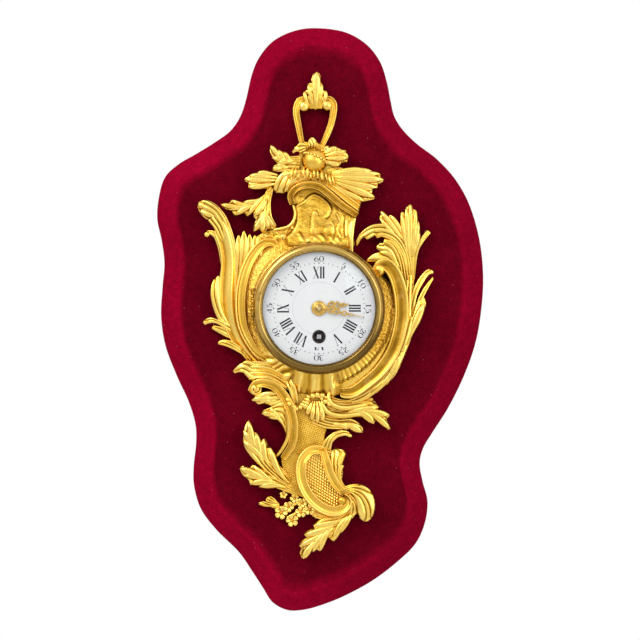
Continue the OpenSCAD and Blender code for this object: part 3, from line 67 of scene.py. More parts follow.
def curve(points, n):
    """n + 1 places along a smooth curve through the points."""
    p = np.asarray(points, float)
    last = len(p) - 1
    t = np.linspace(0, last, n + 1)
    i = np.minimum(t.astype(int), last - 1)
    return blended(p[np.maximum(i - 1, 0)], p[i], p[i + 1], p[np.minimum(i + 2, last)], (t - i)[:, None])


def closed(points, n):
    """n places round a smooth closed curve through the points."""
    p = np.asarray(points, float)
    t = np.arange(n) * len(p) / n
    i = t.astype(int)
    return blended(*(p[(i + k) % len(p)] for k in (-1, 0, 1, 2)), (t - i)[:, None])


def smooth(x):
    """Eases from 0 to 1 as x does."""
    x = np.clip(x, 0, 1)
    return x * x * (3 - 2 * x)


def hump(x, width):
    """A bell of height 1."""
    return np.exp(-((x / width) ** 2))


def circle(n):
    """n even angles of a full turn."""
    return np.linspace(0, 2 * np.pi, n, endpoint=False)


def leftward(spine):
    """The way to the left at each place of a spine, seen from the front."""
    t = np.gradient(spine[:, :2], axis=0)
    t /= np.maximum(np.linalg.norm(t, axis=1, keepdims=True), 1e-9)
    return np.column_stack([-t[:, 1], t[:, 0]])


def aside(spine, offset):
    """x and y of places beside a spine, by offsets to its left."""
    left = leftward(spine)
    return [spine[:, i:i + 1] + left[:, i:i + 1] * offset for i in (0, 1)]


def rough(x, y, scale, octaves=3, seed=0.0):
    """Even noise over the dial plane, about -1 to 1, with features of the given size in millimetres."""
    flat = np.column_stack([np.ravel(x), np.ravel(y)]) / scale
    out = [noise.fractal(Vector((a, b, seed)), 1.0, 2.0, octaves) for a, b in flat]
    return np.array(out).reshape(np.shape(x))


def on_velvet(x, y, height):
    """Points at heights over the velvet."""
    return np.stack([x, y, VELVET + height], axis=-1)


def standing(rings):
    """The rings with one more under the first, down on the velvet."""
    base = rings[:1].copy()
    base[..., 2] = VELVET + FOOT
    return np.concatenate([base, rings])


def turned(profile, n, z, y=0.0):
    """Rings of a turned form: radius and height pairs about a line out from the wall."""
    a = circle(n)
    return np.stack([np.column_stack([r * np.cos(a), y + r * np.sin(a), np.full(n, z + h)])
                     for r, h in profile])


class Casting:
    """Gathers rings of points into one mesh, with each point's painted shade, deeper in hollows (on the
    velvet a painted sheen), and how matted it is.
    """

    def __init__(self):
        self.points, self.faces, self.hollow, self.matt, self.count = [], [], [], [], 0

    def add(self, points, faces, hollow=0.0, matt=0.0):
        p = np.asarray(points, float).reshape(-1, 3)
        self.points.append(p)
        self.faces.extend([[i + self.count for i in f] for f in faces])
        for kept, value in ((self.hollow, hollow), (self.matt, matt)):
            kept.append(np.broadcast_to(np.ravel(value) if np.ndim(value) else value, len(p)))
        self.count += len(p)

    def rings(self, grid, hollow=0.0, matt=0.0, ends=True, loop=False):
        """A skin over grid[ring, place, xyz], closed round each ring."""
        m, n = grid.shape[:2]
        faces = []
        for i in range(m if loop else m - 1):
            a, b = i * n, (i + 1) % m * n
            faces += [[a + j, b + j, b + (j + 1) % n, a + (j + 1) % n] for j in range(n)]
        if ends and not loop:
            faces.append(list(range(n)))
            faces.append(list(range((m - 1) * n, m * n))[::-1])
        self.add(grid, faces, hollow, matt)

    def object(self, name, material, solid=True):
        mesh = bpy.data.meshes.new(name)
        mesh.from_pydata(to_frame(np.concatenate(self.points)).tolist(), [], self.faces)
        for key, values in (("hollow", self.hollow), ("matt", self.matt)):
            data = np.concatenate(values).astype(np.float32)
            mesh.attributes.new(key, "FLOAT", "POINT").data.foreach_set("value", data)
        mesh.polygons.foreach_set("use_smooth", [True] * len(mesh.polygons))
        mesh.materials.append(material)
        if solid:
            work = bmesh.new()
            work.from_mesh(mesh)
            bmesh.ops.recalc_face_normals(work, faces=work.faces)
            work.to_mesh(mesh)
            work.free()
        mesh.update()
        return in_scene(name, mesh)


def in_scene(name, data):
    """A new object with the data, linked to the scene."""
    made = bpy.data.objects.new(name, data)
    bpy.context.scene.collection.objects.link(made)
    return made


def finished(piece, body, slot, *nodes):
    """Gives a piece its body and hides the nodes that it stands for; its slot is not used."""
    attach(piece, body)
    if nodes:
        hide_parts(*nodes)


# Materials

NOISE = (0.3, 0.7)  # where most of a noise texture's values lie
# the dark brown laid on as painted shade where a metal's hollow value is high
PAINTED_SHADE_COLOUR = (0.085, 0.042, 0.008)
SEAT_EDGE = (-0.0414, -0.0404)  # x where the dial's seat comes out from under the bezel
WELL_MOUTH = (-0.0344, -0.0340)  # y below which the winding square takes a painted black shade


class Look:
    """The nodes of a material or world, with short ways to make and join them."""

    def __init__(self, owner, place="Object"):
        owner.use_nodes = True
        self.owner, self.tree = owner, owner.node_tree
        self.where = self.node("TexCoord", {}).outputs[place]

    def feed(self, made, inputs):
        """Links or sets each named input of a node."""
        for key, value in inputs.items():
            if isinstance(value, bpy.types.NodeSocket):
                self.tree.links.new(value, made.inputs[key])
            else:
                made.inputs[key].default_value = value

    def node(self, kind, inputs, **settings):
        made = self.tree.nodes.new("ShaderNode" + kind)
        for key, value in settings.items():
            setattr(made, key, value)
        self.feed(made, inputs)
        return made

    def surface(self, inputs):
        """Feeds the material's shader and gives the material."""
        self.feed(self.tree.nodes["Principled BSDF"], inputs)
        return self.owner

    def noise(self, scale, detail=4.0, roughness=0.55, where=None):
        where = self.where if where is None else where
        inputs = {"Vector": where, "Scale": scale, "Detail": detail, "Roughness": roughness}
        return self.node("TexNoise", inputs).outputs["Fac"]

    def cells(self, scale):
        return self.node("TexVoronoi", {"Vector": self.where, "Scale": scale}, feature="F1").outputs

    def axis(self, name):
        return self.node("SeparateXYZ", {"Vector": self.where}).outputs[name]

    def upright(self, share):
        """Places drawn together up the part, so that a texture runs in upright lines."""
        return self.node("Mapping", {"Vector": self.where, "Scale": (1.0, 1.0, share)}).outputs["Vector"]

    def attribute(self, name):
        return self.node("Attribute", {}, attribute_name=name).outputs["Fac"]

    def ramp(self, value, stops):
        made = self.node("ValToRGB", {"Fac": value})
        elements = made.color_ramp.elements
        while len(elements) < len(stops):
            elements.new(0.5)
        for element, (at, colour) in zip(elements, stops):
            element.position = at
            element.color = (*colour, 1)
        return made.outputs["Color"]

    def tones(self, value, low, high, ends=NOISE):
        return self.ramp(value, [(ends[0], low), (ends[1], high)])

    def spread(self, value, low, high, from_low=0.0, from_high=1.0):
        inputs = {"Value": value, "From Min": from_low, "From Max": from_high, "To Min": low, "To Max": high}
        return self.node("MapRange", inputs).outputs["Result"]

    def varied(self, value, low, high):
        return self.spread(value, low, high, *NOISE)

    def mixed(self, factor, a, b, blend="MIX"):
        a, b = [c if isinstance(c, bpy.types.NodeSocket) else (*c, 1) for c in (a, b)]
        return self.node("Mix", {0: factor, 6: a, 7: b}, data_type="RGBA", blend_type=blend).outputs[2]

    def shaded(self, colour, value, low, high, ends=NOISE):
        """The colour made darker and lighter by a texture."""
        return self.mixed(1.0, colour, self.tones(value, (low,) * 3, (high,) * 3, ends), "MULTIPLY")

    def maths(self, operation, a, b):
        return self.node("Math", {0: a, 1: b}, operation=operation).outputs[0]

    def bump(self, height, strength, distance, after=None):
        inputs = {"Height": height, "Strength": strength, "Distance": distance}
        if after is not None:
            inputs["Normal"] = after
        return self.node("Bump", inputs).outputs["Normal"]


def new_look(name):
    return Look(bpy.data.materials.new(name))


def gilt_material():
    """Fire-gilt bronze: painted shade from deep amber to brown in the hollows, pale on burnished ridges,
    matted grounds.
    """
    look = new_look("gilt_bronze")
    hollow, matt = look.attribute("hollow"), look.attribute("matt")
    grain = look.noise(900, 3)
    # the mesh's hollow value is painted shade: it darkens the gold through amber to brown
    depth = look.maths("ADD", hollow, look.varied(look.noise(60, 3), -0.14, 0.14))
    gold = look.ramp(depth, [(0.0, (0.93, 0.655, 0.15)), (0.3, (0.84, 0.52, 0.076)),
                             (0.65, (0.55, 0.295, 0.024)), (1.0, (0.22, 0.10, 0.006))])
    warm = look.spread(look.noise(130), 0, 0.35, 0.5, 0.75)
    dull = look.maths("ADD", look.varied(grain, 0.24, 0.38), look.maths("MULTIPLY", matt, 0.18))
    punched = look.maths("MULTIPLY", look.cells(1000)["Distance"], matt)
    return look.surface({
        "Base Color": look.mixed(warm, gold, (0.86, 0.54, 0.14)), "Metallic": 1.0,
        "Roughness": look.maths("ADD", dull, look.maths("MULTIPLY", hollow, 0.12)),
        "Normal": look.bump(punched, 0.7, 0.0006, look.bump(grain, 0.10, 0.0004))})


def metal_material(name, dark, light, tarnish, low, high, scale, brushed):
    """Worked metal: a drifting colour, tarnished spots, painted shade where the hollow value is high and
    brushed streaks.
    """
    look = new_look(name)
    spots = look.spread(look.noise(scale * 3.1, 6, 0.7), 0, 0.7, 0.56, 0.74)
    clean = look.mixed(spots, look.tones(look.noise(scale, 5), dark, light), tarnish)
    # painted shade: of the metals only the bezel ring carries a hollow value
    painted_shade_share = look.spread(look.attribute("hollow"), 0, 0.86, 0.3, 1.0)
    lines = look.noise(2600, 2, where=look.upright(0.06))
    return look.surface({
        "Base Color": look.mixed(painted_shade_share, clean, PAINTED_SHADE_COLOUR), "Metallic": 1.0,
        "Roughness": look.varied(lines, low, high), "Normal": look.bump(lines, brushed, 0.0002)})


def seat_material():
    """The dial's seat: painted shade under the bezel's edge, punched and gilt where its hinge stands out."""
    look = new_look("dial_seat_brass")
    outside = look.spread(look.axis("X"), 1, 0, *SEAT_EDGE)
    cells = look.cells(700)["Distance"]
    drift = look.noise(90, 5)
    # painted shade for the part of the seat under the bezel
    dark = look.tones(drift, (0.22, 0.12, 0.02), (0.40, 0.23, 0.05))
    ground = look.tones(cells, (0.76, 0.43, 0.06), (0.34, 0.16, 0.014), (0.1, 0.6))
    return look.surface({
        "Base Color": look.mixed(outside, dark, ground), "Metallic": 1.0,
        "Roughness": look.varied(drift, 0.38, 0.55),
        "Normal": look.bump(look.maths("MULTIPLY", cells, outside), 0.8, 0.0008)})


def square_material():
    """The winding square: worn steel at its end, painted black shade down in its well."""
    look = new_look("winding_steel")
    # painted shade: black below the well's mouth
    deep_shade = look.spread(look.axis("Y"), 0, 1, *WELL_MOUTH)
    wear = look.noise(420)
    bright = look.tones(wear, (0.36, 0.36, 0.37), (0.62, 0.61, 0.60))
    return look.surface({
        "Base Color": look.mixed(deep_shade, bright, (0.012, 0.010, 0.009)), "Metallic": 1.0,
        "Roughness": look.varied(wear, 0.28, 0.5), "Normal": look.bump(wear, 0.15, 0.0002)})


def velvet_material():
    """Crimson cotton velvet: short pile with pressed patches, a bevel lightened by painted sheen and specks
    of lint.
    """
    look = new_look("crimson_velvet")
    pile, pressed, nap = look.noise(1500, 2), look.noise(24), look.noise(260, 3)
    field = look.tones(pressed, (0.078, 0.0008, 0.0055), (0.101, 0.0011, 0.0073))
    bevel = look.tones(pressed, (0.184, 0.0010, 0.0124), (0.228, 0.0013, 0.0165))
    # painted sheen: the hollow value mixes the field's crimson to the lighter bevel colour
    colour = look.mixed(look.attribute("hollow"), field, bevel)
    colour = look.shaded(colour, nap, 0.86, 1.14)
    colour = look.shaded(colour, pile, 0.7, 1.35, (0.3, 0.72))
    dots = look.cells(215)
    speck = look.spread(dots["Distance"], 1, 0, 0.034, 0.07)
    chance = look.node("SeparateColor", {"Color": dots["Color"]}).outputs["Red"]
    lint = look.maths("MULTIPLY", speck, look.spread(chance, 0, 0.5, 0.45, 0.9))
    return look.surface({
        "Base Color": look.mixed(lint, colour, (0.55, 0.16, 0.19)), "Roughness": 0.95,
        "Specular IOR Level": 0.0, "Sheen Weight": 0.35, "Sheen Roughness": 0.35,
        "Sheen Tint": (0.85, 0.04, 0.12, 1),
        "Normal": look.bump(nap, 0.25, 0.0008, look.bump(pile, 0.45, 0.0005))})


def enamel_material():
    """White vitreous enamel: faint orange-peel, hairline greying and a wet gloss."""
    look = new_look("white_enamel")
    cloud = look.noise(90)
    return look.surface({
        "Base Color": look.tones(cloud, (0.60,) * 3, (0.62,) * 3),
        "Roughness": look.varied(cloud, 0.12, 0.22), "Coat Weight": 0.2, "Coat Roughness": 0.05,
        "Normal": look.bump(look.noise(420, 2), 0.04, 0.0003)})


def ink_material():
    """Fired black enamel for the dial's figures, slightly uneven."""
    look = new_look("black_enamel")
    return look.surface({
        "Base Color": look.tones(look.noise(700, 3), (0.006, 0.007, 0.010), (0.022, 0.024, 0.030)),
        "Roughness": look.varied(look.noise(300, 2), 0.2, 0.4), "Specular IOR Level": 0.15})


def lacquer_material():
    """Old black lacquer on brass: matt, browner where it has worn."""
    look = new_look("black_lacquer")
    worn = look.noise(500)
    return look.surface({
        "Base Color": look.tones(worn, (0.006, 0.004, 0.004), (0.030, 0.013, 0.008), (0.35, 0.7)),
        "Roughness": look.varied(worn, 0.55, 0.85), "Specular IOR Level": 0.15,
        "Normal": look.bump(worn, 0.1, 0.0002)})


def wood_material():
    """Planed softwood: long grain with darker latewood, pores and a dusty back."""
    look = new_look("pine_board")
    upright = look.upright(0.10)
    inputs = {"Vector": upright, "Scale": 60, "Distortion": 7.0, "Detail": 3.0, "Detail Scale": 1.4}
    rings = look.node("TexWave", inputs, wave_type="BANDS", bands_direction="X")
    fibre = look.noise(900, 3, where=upright)
    grain = look.tones(rings.outputs["Fac"], (0.44, 0.275, 0.140), (0.345, 0.200, 0.094), (0.1, 0.8))
    dust = look.spread(look.noise(22), 0, 0.4, 0.45, 0.75)
    return look.surface({
        "Base Color": look.shaded(look.mixed(dust, grain, (0.40, 0.30, 0.21)), fibre, 0.8, 1.12),
        "Roughness": look.varied(fibre, 0.55, 0.8), "Normal": look.bump(fibre, 0.3, 0.0003)})


def glass_material():
    """Clear domed glass: what is behind shows through, with a soft gloss that grows at a slant."""
    look = new_look("clear_glass")
    nodes = look.tree.nodes
    nodes.remove(nodes["Principled BSDF"])
    slant = look.maths("POWER", look.node("LayerWeight", {"Blend": 0.5}).outputs["Facing"], 5)
    smear = look.noise(40, 3)
    tint = look.tones(smear, (0.992, 0.995, 0.996), (0.998, 0.999, 0.999), (0.35, 0.7))
    clear = look.node("BsdfTransparent", {"Color": tint})
    gloss = look.node("BsdfGlossy", {"Roughness": look.varied(smear, 0.03, 0.09)})
    share = look.maths("ADD", look.maths("MULTIPLY", slant, 0.6), 0.014)
    both = look.node("MixShader", {0: share, 1: clear.outputs["BSDF"], 2: gloss.outputs["BSDF"]})
    look.feed(nodes["Material Output"], {"Surface": both.outputs["Shader"]})
    return look.owner


gilt = gilt_material()
velvet = velvet_material()
enamel = enamel_material()
ink = ink_material()
wood = wood_material()
glass = glass_material()
lacquer = lacquer_material()
seat_brass = seat_material()
square_steel = square_material()
bezel_brass = metal_material("bezel_brass", (0.47, 0.295, 0.066), (0.67, 0.440, 0.120), (0.24, 0.15, 0.035),
                             0.14, 0.26, 45, 0.06)
hand_gilt = metal_material("hand_gilt", (0.62, 0.36, 0.070), (0.80, 0.51, 0.13), (0.32, 0.17, 0.03),
                           0.22, 0.36, 160, 0.05)
movement_brass = metal_material("movement_brass", (0.70, 0.52, 0.22), (0.82, 0.66, 0.34), (0.48, 0.34, 0.15),
                                0.20, 0.38, 60, 0.18)
steel = metal_material("bright_steel", (0.42, 0.42, 0.43), (0.58, 0.58, 0.60), (0.25, 0.21, 0.18),
                       0.24, 0.42, 70, 0.15)
blued = metal_material("blued_steel", (0.025, 0.035, 0.12), (0.05, 0.075, 0.24), (0.05, 0.03, 0.08),
                       0.16, 0.30, 200, 0.08)


# Ornament, with heights over the velvet and a painted shade for each point

EDGE_STEPS = 8  # places between two drawn points of a leaf's edge
NOTCH, LOBE = 0.55, -0.5  # turns of the edge, in radians, past which it is a notch or the tip of a lobe
LEAF_STEP, LEAF_ACROSS = 0.45, 40  # millimetres between places along a leaf, and places across it


def edge_line(points, side):
    """A leaf's edge, round at its lobes' tips and sharp in its notches, its shares and the tips' places."""
    p = np.asarray(points, float)
    cuts, tips = [0], []
    for k in range(1, len(p) - 1):
        a, b = p[k] - p[k - 1], p[k + 1] - p[k]
        turn = side * math.atan2(a[0] * b[1] - a[1] * b[0], a @ b)
        if turn > NOTCH:
            cuts.append(k)
        elif turn < LOBE:
            tips.append(k)
    cuts.append(len(p) - 1)
    runs = [curve(p[i:j + 1], EDGE_STEPS * (j - i))[:-1] for i, j in zip(cuts[:-1], cuts[1:])]
    line = np.concatenate(runs + [p[-1:]])
    return line, shares(line), [EDGE_STEPS * k for k in tips]


def shares(p):
    """How far along a line each of its points stands, from 0 to 1."""
    d = np.concatenate([[0], np.cumsum(np.linalg.norm(np.diff(p, axis=0), axis=1))])
    return d / d[-1]


def length_of(p):
    """The length of a line through points."""
    return np.linalg.norm(np.diff(p, axis=0), axis=1).sum()


def resampled(line, share, u):
    """The line at other shares of its length."""
    return np.column_stack([np.interp(u, share, line[:, i]) for i in (0, 1)])


def eased(p, n):
    """The line with its teeth smoothed away, its ends kept."""
    weight = np.hanning(2 * n + 3)[1:-1]
    padded = np.vstack([2 * p[0] - p[n:0:-1], p, 2 * p[-1] - p[-2:-n - 2:-1]])
    return np.column_stack([np.convolve(padded[:, i], weight / weight.sum(), "valid") for i in (0, 1)])


def along_middle(line, share, middle):
    """How far along the midline of a leaf each point of its edge stands."""
    u = np.linspace(0, 1, len(middle))
    out_of_reach = 1000 * (np.abs(share[:, None] - u[None]) > 0.2)
    away = np.linalg.norm(line[:, None] - middle[None], axis=2) + out_of_reach
    far = np.maximum.accumulate(u[np.argmin(away, axis=1)])
    far[0], far[-1] = 0, 1
    rising = far + 1e-6 * np.arange(len(far))
    return (rising - rising[0]) / (rising[-1] - rising[0])


class Leaf:
    """The lines of a leaf between its edges, root to tip, on a grid of places along (u) and across (v) it."""

    def __init__(self, left, right):
        edge_l, share_l, tips_l = edge_line(left, 1)
        edge_r, share_r, tips_r = edge_line(right, -1)
        self.length = 0.5 * (length_of(edge_l) + length_of(edge_r))
        self.steps = int(np.clip(self.length / LEAF_STEP, 24, 260))
        u, ease = np.linspace(0, 1, self.steps + 1), self.steps // 6
        middle = eased(0.5 * (resampled(edge_l, share_l, u) + resampled(edge_r, share_r, u)), ease)
        share_l, share_r = along_middle(edge_l, share_l, middle), along_middle(edge_r, share_r, middle)
        self.tips = [share_l[k] for k in tips_l], [share_r[k] for k in tips_r]
        self.left, self.right = resampled(edge_l, share_l, u), resampled(edge_r, share_r, u)
        self.calm_left, self.calm_right = eased(self.left, ease), eased(self.right, ease)
        self.wide = np.maximum(np.linalg.norm(self.calm_left - self.calm_right, axis=1), 0.2)[:, None]
        self.v = np.linspace(1, 0, LEAF_ACROSS + 1)[None, :]
        self.u = u[:, None] + 0 * self.v

    def face(self):
        """x and y over the front, where only the outer parts follow the teeth of the edges."""
        v = self.v
        return [(1 - v) * self.calm_left[:, i:i + 1] + v * self.calm_right[:, i:i + 1]
                + (1 - v) ** 2 * (self.left - self.calm_left)[:, i:i + 1]
                + v**2 * (self.right - self.calm_right)[:, i:i + 1] for i in (0, 1)]

    def back(self, v):
        return [self.left[:, i:i + 1] + (self.right[:, i:i + 1] - self.left[:, i:i + 1]) * v for i in (0, 1)]


def rib_distances(leaf, flutes, own):
    """How far each place is from the nearest rib and from the next, and the number of ribs."""
    tips_l, tips_r = leaf.tips
    ends = max(flutes - len(tips_l) - len(tips_r), 1)
    at_tip = [(1.0, (k + 0.5) / ends) for k in range(ends)]
    ribs = [(q, 0.1) for q in tips_l] + at_tip + [(q, 0.9) for q in tips_r[::-1]]
    far = []
    for k, (reach, side) in enumerate(ribs):
        start = (k + 0.5) / len(ribs)
        lane = start + (side - start) * np.clip(leaf.u / reach, 0, 1) ** 2.2
        lane = lane + 0.012 * np.sin(7 * leaf.u + own + k)
        far.append(np.hypot(leaf.wide * (leaf.v - lane), leaf.length * np.maximum(leaf.u - reach, 0)))
    near, after = np.sort(np.stack(far + [far[0] + 40]), axis=0)[:2]
    return near, after, len(ribs)


def ribbed(leaf, height, flutes, own):
    """Height and painted shade of a leaf with a rib to each lobe and furrows between them."""
    near, after, count = rib_distances(leaf, flutes, own)
    gap, arch = after - near, 1 - (2 * leaf.v - 1) ** 2
    crown = np.minimum(gap / (near + after + 0.2), 1) if count > 1 else arch
    fade = smooth(leaf.u / 0.2 + 0.2) * smooth((near + after - 0.6) / 1.4)
    depth = np.clip(0.11 * leaf.wide, 0.12, 1.25) * fade
    crease = hump(near, 0.24) * smooth((after - 1.3) / 1.2) * (count > 1)
    bow = np.minimum(0.08 * leaf.wide, 1.1) * arch
    top = height + bow + depth * (crown**0.7 - 0.7) - 0.04 * crease * fade
    # painted shade in the furrows, on the crease and at the root
    painted_shade = 1.1 * hump(gap, 0.95) * (0.2 + 0.8 * fade) + 0.1 * crease + 0.3 * np.clip(1 - leaf.u / 0.2, 0, 1)
    return top, painted_shade + 0.16 * np.sin(9 * leaf.u + 5 * leaf.v + own) * (1 - crown)


def moulded(leaf, height, form):
    """Height and painted shade of a leaf with one section from end to end."""
    section = curve(np.asarray(form, float)[:, None], LEAF_ACROSS)[::-1, 0][None, :]
    # painted shade where the section dips and at the root
    painted_shade = np.clip(-0.55 * section, 0, 0.75) + 0.2 * np.clip(1 - leaf.u / 0.2, 0, 1)
    return height + section * np.minimum(leaf.wide / 10, 1.0), painted_shade


def blade(part, left, right, heights, flutes=4, tip=1.0, form=None):
    """A cast leaf between its edges, root to tip, ribbed or, where a form is given, moulded."""
    ring = np.array(list(left) + list(right)[::-1], float)
    ahead = np.roll(ring, -1, axis=0)
    if np.sum(ring[:, 0] * ahead[:, 1] - ring[:, 1] * ahead[:, 0]) > 0:
        left, right, form = right, left, form and form[::-1]
    leaf = Leaf(left, right)
    height = curve(np.asarray(heights, float)[:, None], leaf.steps)
    if form:
        top, painted_shade = moulded(leaf, height, form)
    else:
        top, painted_shade = ribbed(leaf, height, flutes, 0.37 * left[0][0] + 0.61 * right[0][1])
    rim = np.clip((np.abs(2 * leaf.v - 1) - 0.86) / 0.14, 0, 1) ** 2
    top = top - 1.0 * rim - tip * 0.7 * np.clip((leaf.u - 0.97) / 0.03, 0, 1) ** 2
    back = np.linspace(0.14, 0.86, 6)[None, :]
    low = height - np.maximum(2.4, (1.3 - 3 * leaf.u[:, :1]) * height) + 0 * back
    x, y = (np.hstack(pair) for pair in zip(leaf.face(), leaf.back(back)))
    # the face takes its painted shade, the underside a dark painted shade
    part.rings(on_velvet(x, y, np.maximum(np.hstack([top, low]), 0.05)),
               np.hstack([np.clip(painted_shade, 0, 1), np.full(low.shape, 0.9)]))


def between(u, places, values):
    """Values read off between places, down a column."""
    return np.interp(u[:, 0], places, values)[:, None]


def leaflet(part, start, through, tip, wide, h):
    """One lobe of a leaf: a rounded ridge with a vein, drawn out to its tip along a bent line."""
    start, through, tip = (np.asarray(p, float) for p in (start, through, tip))
    u = np.linspace(0, 1, 31)[:, None]
    v = np.linspace(1, -1, 17)[None, :]
    back = np.array([[-0.7, 0.0, 0.7]])
    shape = between(u, [0, 0.25, 0.62, 0.82, 0.93, 0.98, 1], [0.34, 0.56, 1, 0.86, 0.56, 0.28, 0.06])
    half = 0.5 * wide * eased(np.hstack([shape, shape]), 2)[:, :1]
    spine = (1 - u) ** 2 * start + 2 * u * (1 - u) * through + u**2 * tip
    vein = hump(v, 0.13) * smooth(u / 0.2) * smooth((0.92 - u) / 0.2)
    level = h + between(u, [0, 0.2, 0.55, 0.85, 1], [-1.6, -0.4, 0, -0.2, -1.4])
    ridge = np.minimum(0.72 * half, 1.3)
    top = level + ridge * (np.sqrt(np.clip(1.02 - v**2, 0, 1)) - 0.3) - 0.14 * vein - 0.6 * np.abs(v) ** 8
    low = level - 3.2 + 0 * back
    # painted shade at the edges, on the vein and at the root, lighter towards the tip
    painted_shade = 0.75 * np.abs(v) ** 5 + 0.28 * vein + 0.3 * np.clip(1 - u / 0.25, 0, 1)
    painted_shade = painted_shade - 0.1 * smooth((u - 0.6) / 0.3)
    x, y = aside(spine, np.hstack([v * half, back * half]))
    part.rings(on_velvet(x, y, np.maximum(np.hstack([top, low]), 0.05)),
               np.clip(np.hstack([painted_shade, np.ones_like(low)]), 0, 1))


def fan(part, root, span, tips, wide, h):
    """Leaflets spreading from beside one root, the middle ones standing highest."""
    root, span = np.array(root, float), np.array(span, float)
    for k, tip in enumerate(tips):
        side = k / max(len(tips) - 1, 1) - 0.5
        start = root + side * span
        through = 0.5 * (start + np.array(tip, float)) + 0.6 * side * span
        leaflet(part, start, through, tip, wide * (0.92 + 0.12 * math.sin(2.7 * k + wide)),
                h + 0.8 * (0.25 - side**2))


def lobes(part, rib, tips, wide, h):
    """Leaflets leaving a curved midrib on both sides, each to its own tip."""
    line = curve(rib, 100)
    for k, tip in enumerate(tips):
        gone = np.linalg.norm(line - np.array(tip, float), axis=1)
        at = int(np.argmin(gone))
        start, through = line[max(at - 42, 0)], line[max(at - 23, 0)]
        rise = 0.5 if gone[at] < 1 else 0
        leaflet(part, start, through, tip, wide * (0.95 + 0.1 * math.sin(2.7 * k + wide)), h + rise)


# Sections of a scroll: shares of its half width and rises in millimetres
BROAD = [(-1, -2.6), (-0.97, -0.6), (-0.91, 0.2), (-0.82, 0.45), (-0.72, 0.3), (-0.60, -0.25), (-0.45, -0.6),
         (-0.2, -0.75), (0.1, -0.7), (0.35, -0.4), (0.52, 0.05), (0.66, 0.45), (0.80, 0.55), (0.91, 0.25),
         (0.97, -0.6), (1, -2.6)]
PLAIN = [(-1, -2.2), (-0.94, -0.9), (-0.7, -0.1), (-0.3, 0.3), (0, 0.36), (0.3, 0.3), (0.7, -0.1),
         (0.94, -0.9), (1, -2.2)]


def scroll(part, points, w, section=BROAD, flip=False, even=0.55, tone=0.0):
    """A moulded scroll standing on the velvet, its section swept along the points."""
    steps = 22 * (len(points) - 1)
    spine = curve(points, steps)
    u = np.linspace(0, 1, steps + 1)
    top = curve(section, 5 * (len(section) - 1))
    if flip:
        top = top[::-1] * [-1, 1]
    half = w * (even + (1 - even) * np.sin(np.pi * u))
    half = half * np.sqrt(np.clip(1 - np.abs(2 * u - 1) ** 40, 0.01, 1))
    s, rise = top[:, 0][None, :], top[:, 1][None, :]
    foot = np.array([[0.86, -0.86]])
    x, y = aside(spine, np.hstack([s, foot]) * half[:, None])
    height = np.maximum(spine[:, 2:3] + rise, 0.1)
    low = np.full((steps + 1, 2), FOOT)
    # painted shade in the section's hollows and on a line beside the crest, deepened by the extra shade value
    painted_shade = (0.5 + tone) * np.clip((0.1 - rise) / 0.9, 0, 1) + 0.4 * tone + 0.35 * hump(s + 0.58, 0.06)
    part.rings(on_velvet(x, y, np.hstack([height, low])), np.hstack([painted_shade + 0 * height, np.ones_like(low)]))


def stem(part, points, r):
    """A round stalk along the points, slightly uneven."""
    steps = 14 * (len(points) - 1)
    spine = curve(points, steps)
    a = circle(16)[::-1]
    taper = 1 + 0.08 * np.sin(np.linspace(0, 9 * np.pi, steps + 1))
    x, y = aside(spine, np.cos(a)[None, :] * r * taper[:, None])
    # an even light painted shade over the stalk
    part.rings(on_velvet(x, y, np.maximum(spine[:, 2:3] + np.sin(a)[None, :] * r, FOOT)), 0.25)


def ball(part, centre, r, steps=24, squash=1.0, shape=None, hollow=0.15):
    """A cast knob: a sphere, flattened or fluted by shape(azimuth, polar)."""
    polar = np.linspace(0.02, np.pi - 0.02, steps // 2 + 1)[::-1]
    P, Q = np.meshgrid(polar, circle(steps), indexing="ij")
    k = shape(Q, P) if shape else 1.0
    grid = on_velvet(centre[0] + r * k * np.sin(P) * np.cos(Q), centre[1] + r * k * np.sin(P) * np.sin(Q),
                     np.maximum(centre[2] + squash * r * k * np.cos(P), FOOT))
    # painted shade in the flutes and towards the sides that turn away from the front
    painted_shade = np.clip((1 - k) * 6, 0, 1) + hollow
    part.rings(grid, np.clip(painted_shade + 0.75 * smooth((P - 0.7) / 0.9), 0, 1))


def volute(part, x, y, h, r, turns=1.6, way=1):
    """The rolled end of a scroll: a low dome with a spiral groove and a raised eye."""
    R, Q = np.meshgrid(np.linspace(1, 0.01, 34), circle(72), indexing="ij")
    turn = (R * turns + way * Q / (2 * np.pi)) % 1
    cut = hump(np.minimum(turn, 1 - turn), 0.14) * smooth((R - 0.22) / 0.1) * smooth((1.0 - R) / 0.12)
    top = h + 0.55 * r * np.sqrt(np.clip(1.02 - R**2, 0, 1)) - 0.2 * r * cut
    rings = standing(on_velvet(x + r * R * np.cos(Q), y + r * R * np.sin(Q), top))
    # painted shade in the spiral groove and at the foot
    part.rings(rings, np.vstack([np.ones((1, 72)), 0.9 * cut]))


def patch(part, outline, h, relief, rings=46, around=220, matt=0.0):
    """A low ground on the velvet inside an outline, its face raised by relief(x, y)."""
    rim = closed(outline, around)
    centre = rim.mean(axis=0)
    t = np.linspace(1, 0.004, rings)[:, None, None]
    flat = centre + (rim - centre) * t
    lift, painted_shade = relief(flat[..., 0], flat[..., 1])
    fall = np.clip((t[..., 0] - 0.93) / 0.07, 0, 1) ** 2 * 1.2
    # the relief's painted shade, and full painted shade on the ring at the foot
    part.rings(standing(on_velvet(flat[..., 0], flat[..., 1], h + lift - fall)),
               np.vstack([np.ones((1, around)), np.clip(painted_shade, 0, 1)]), matt)


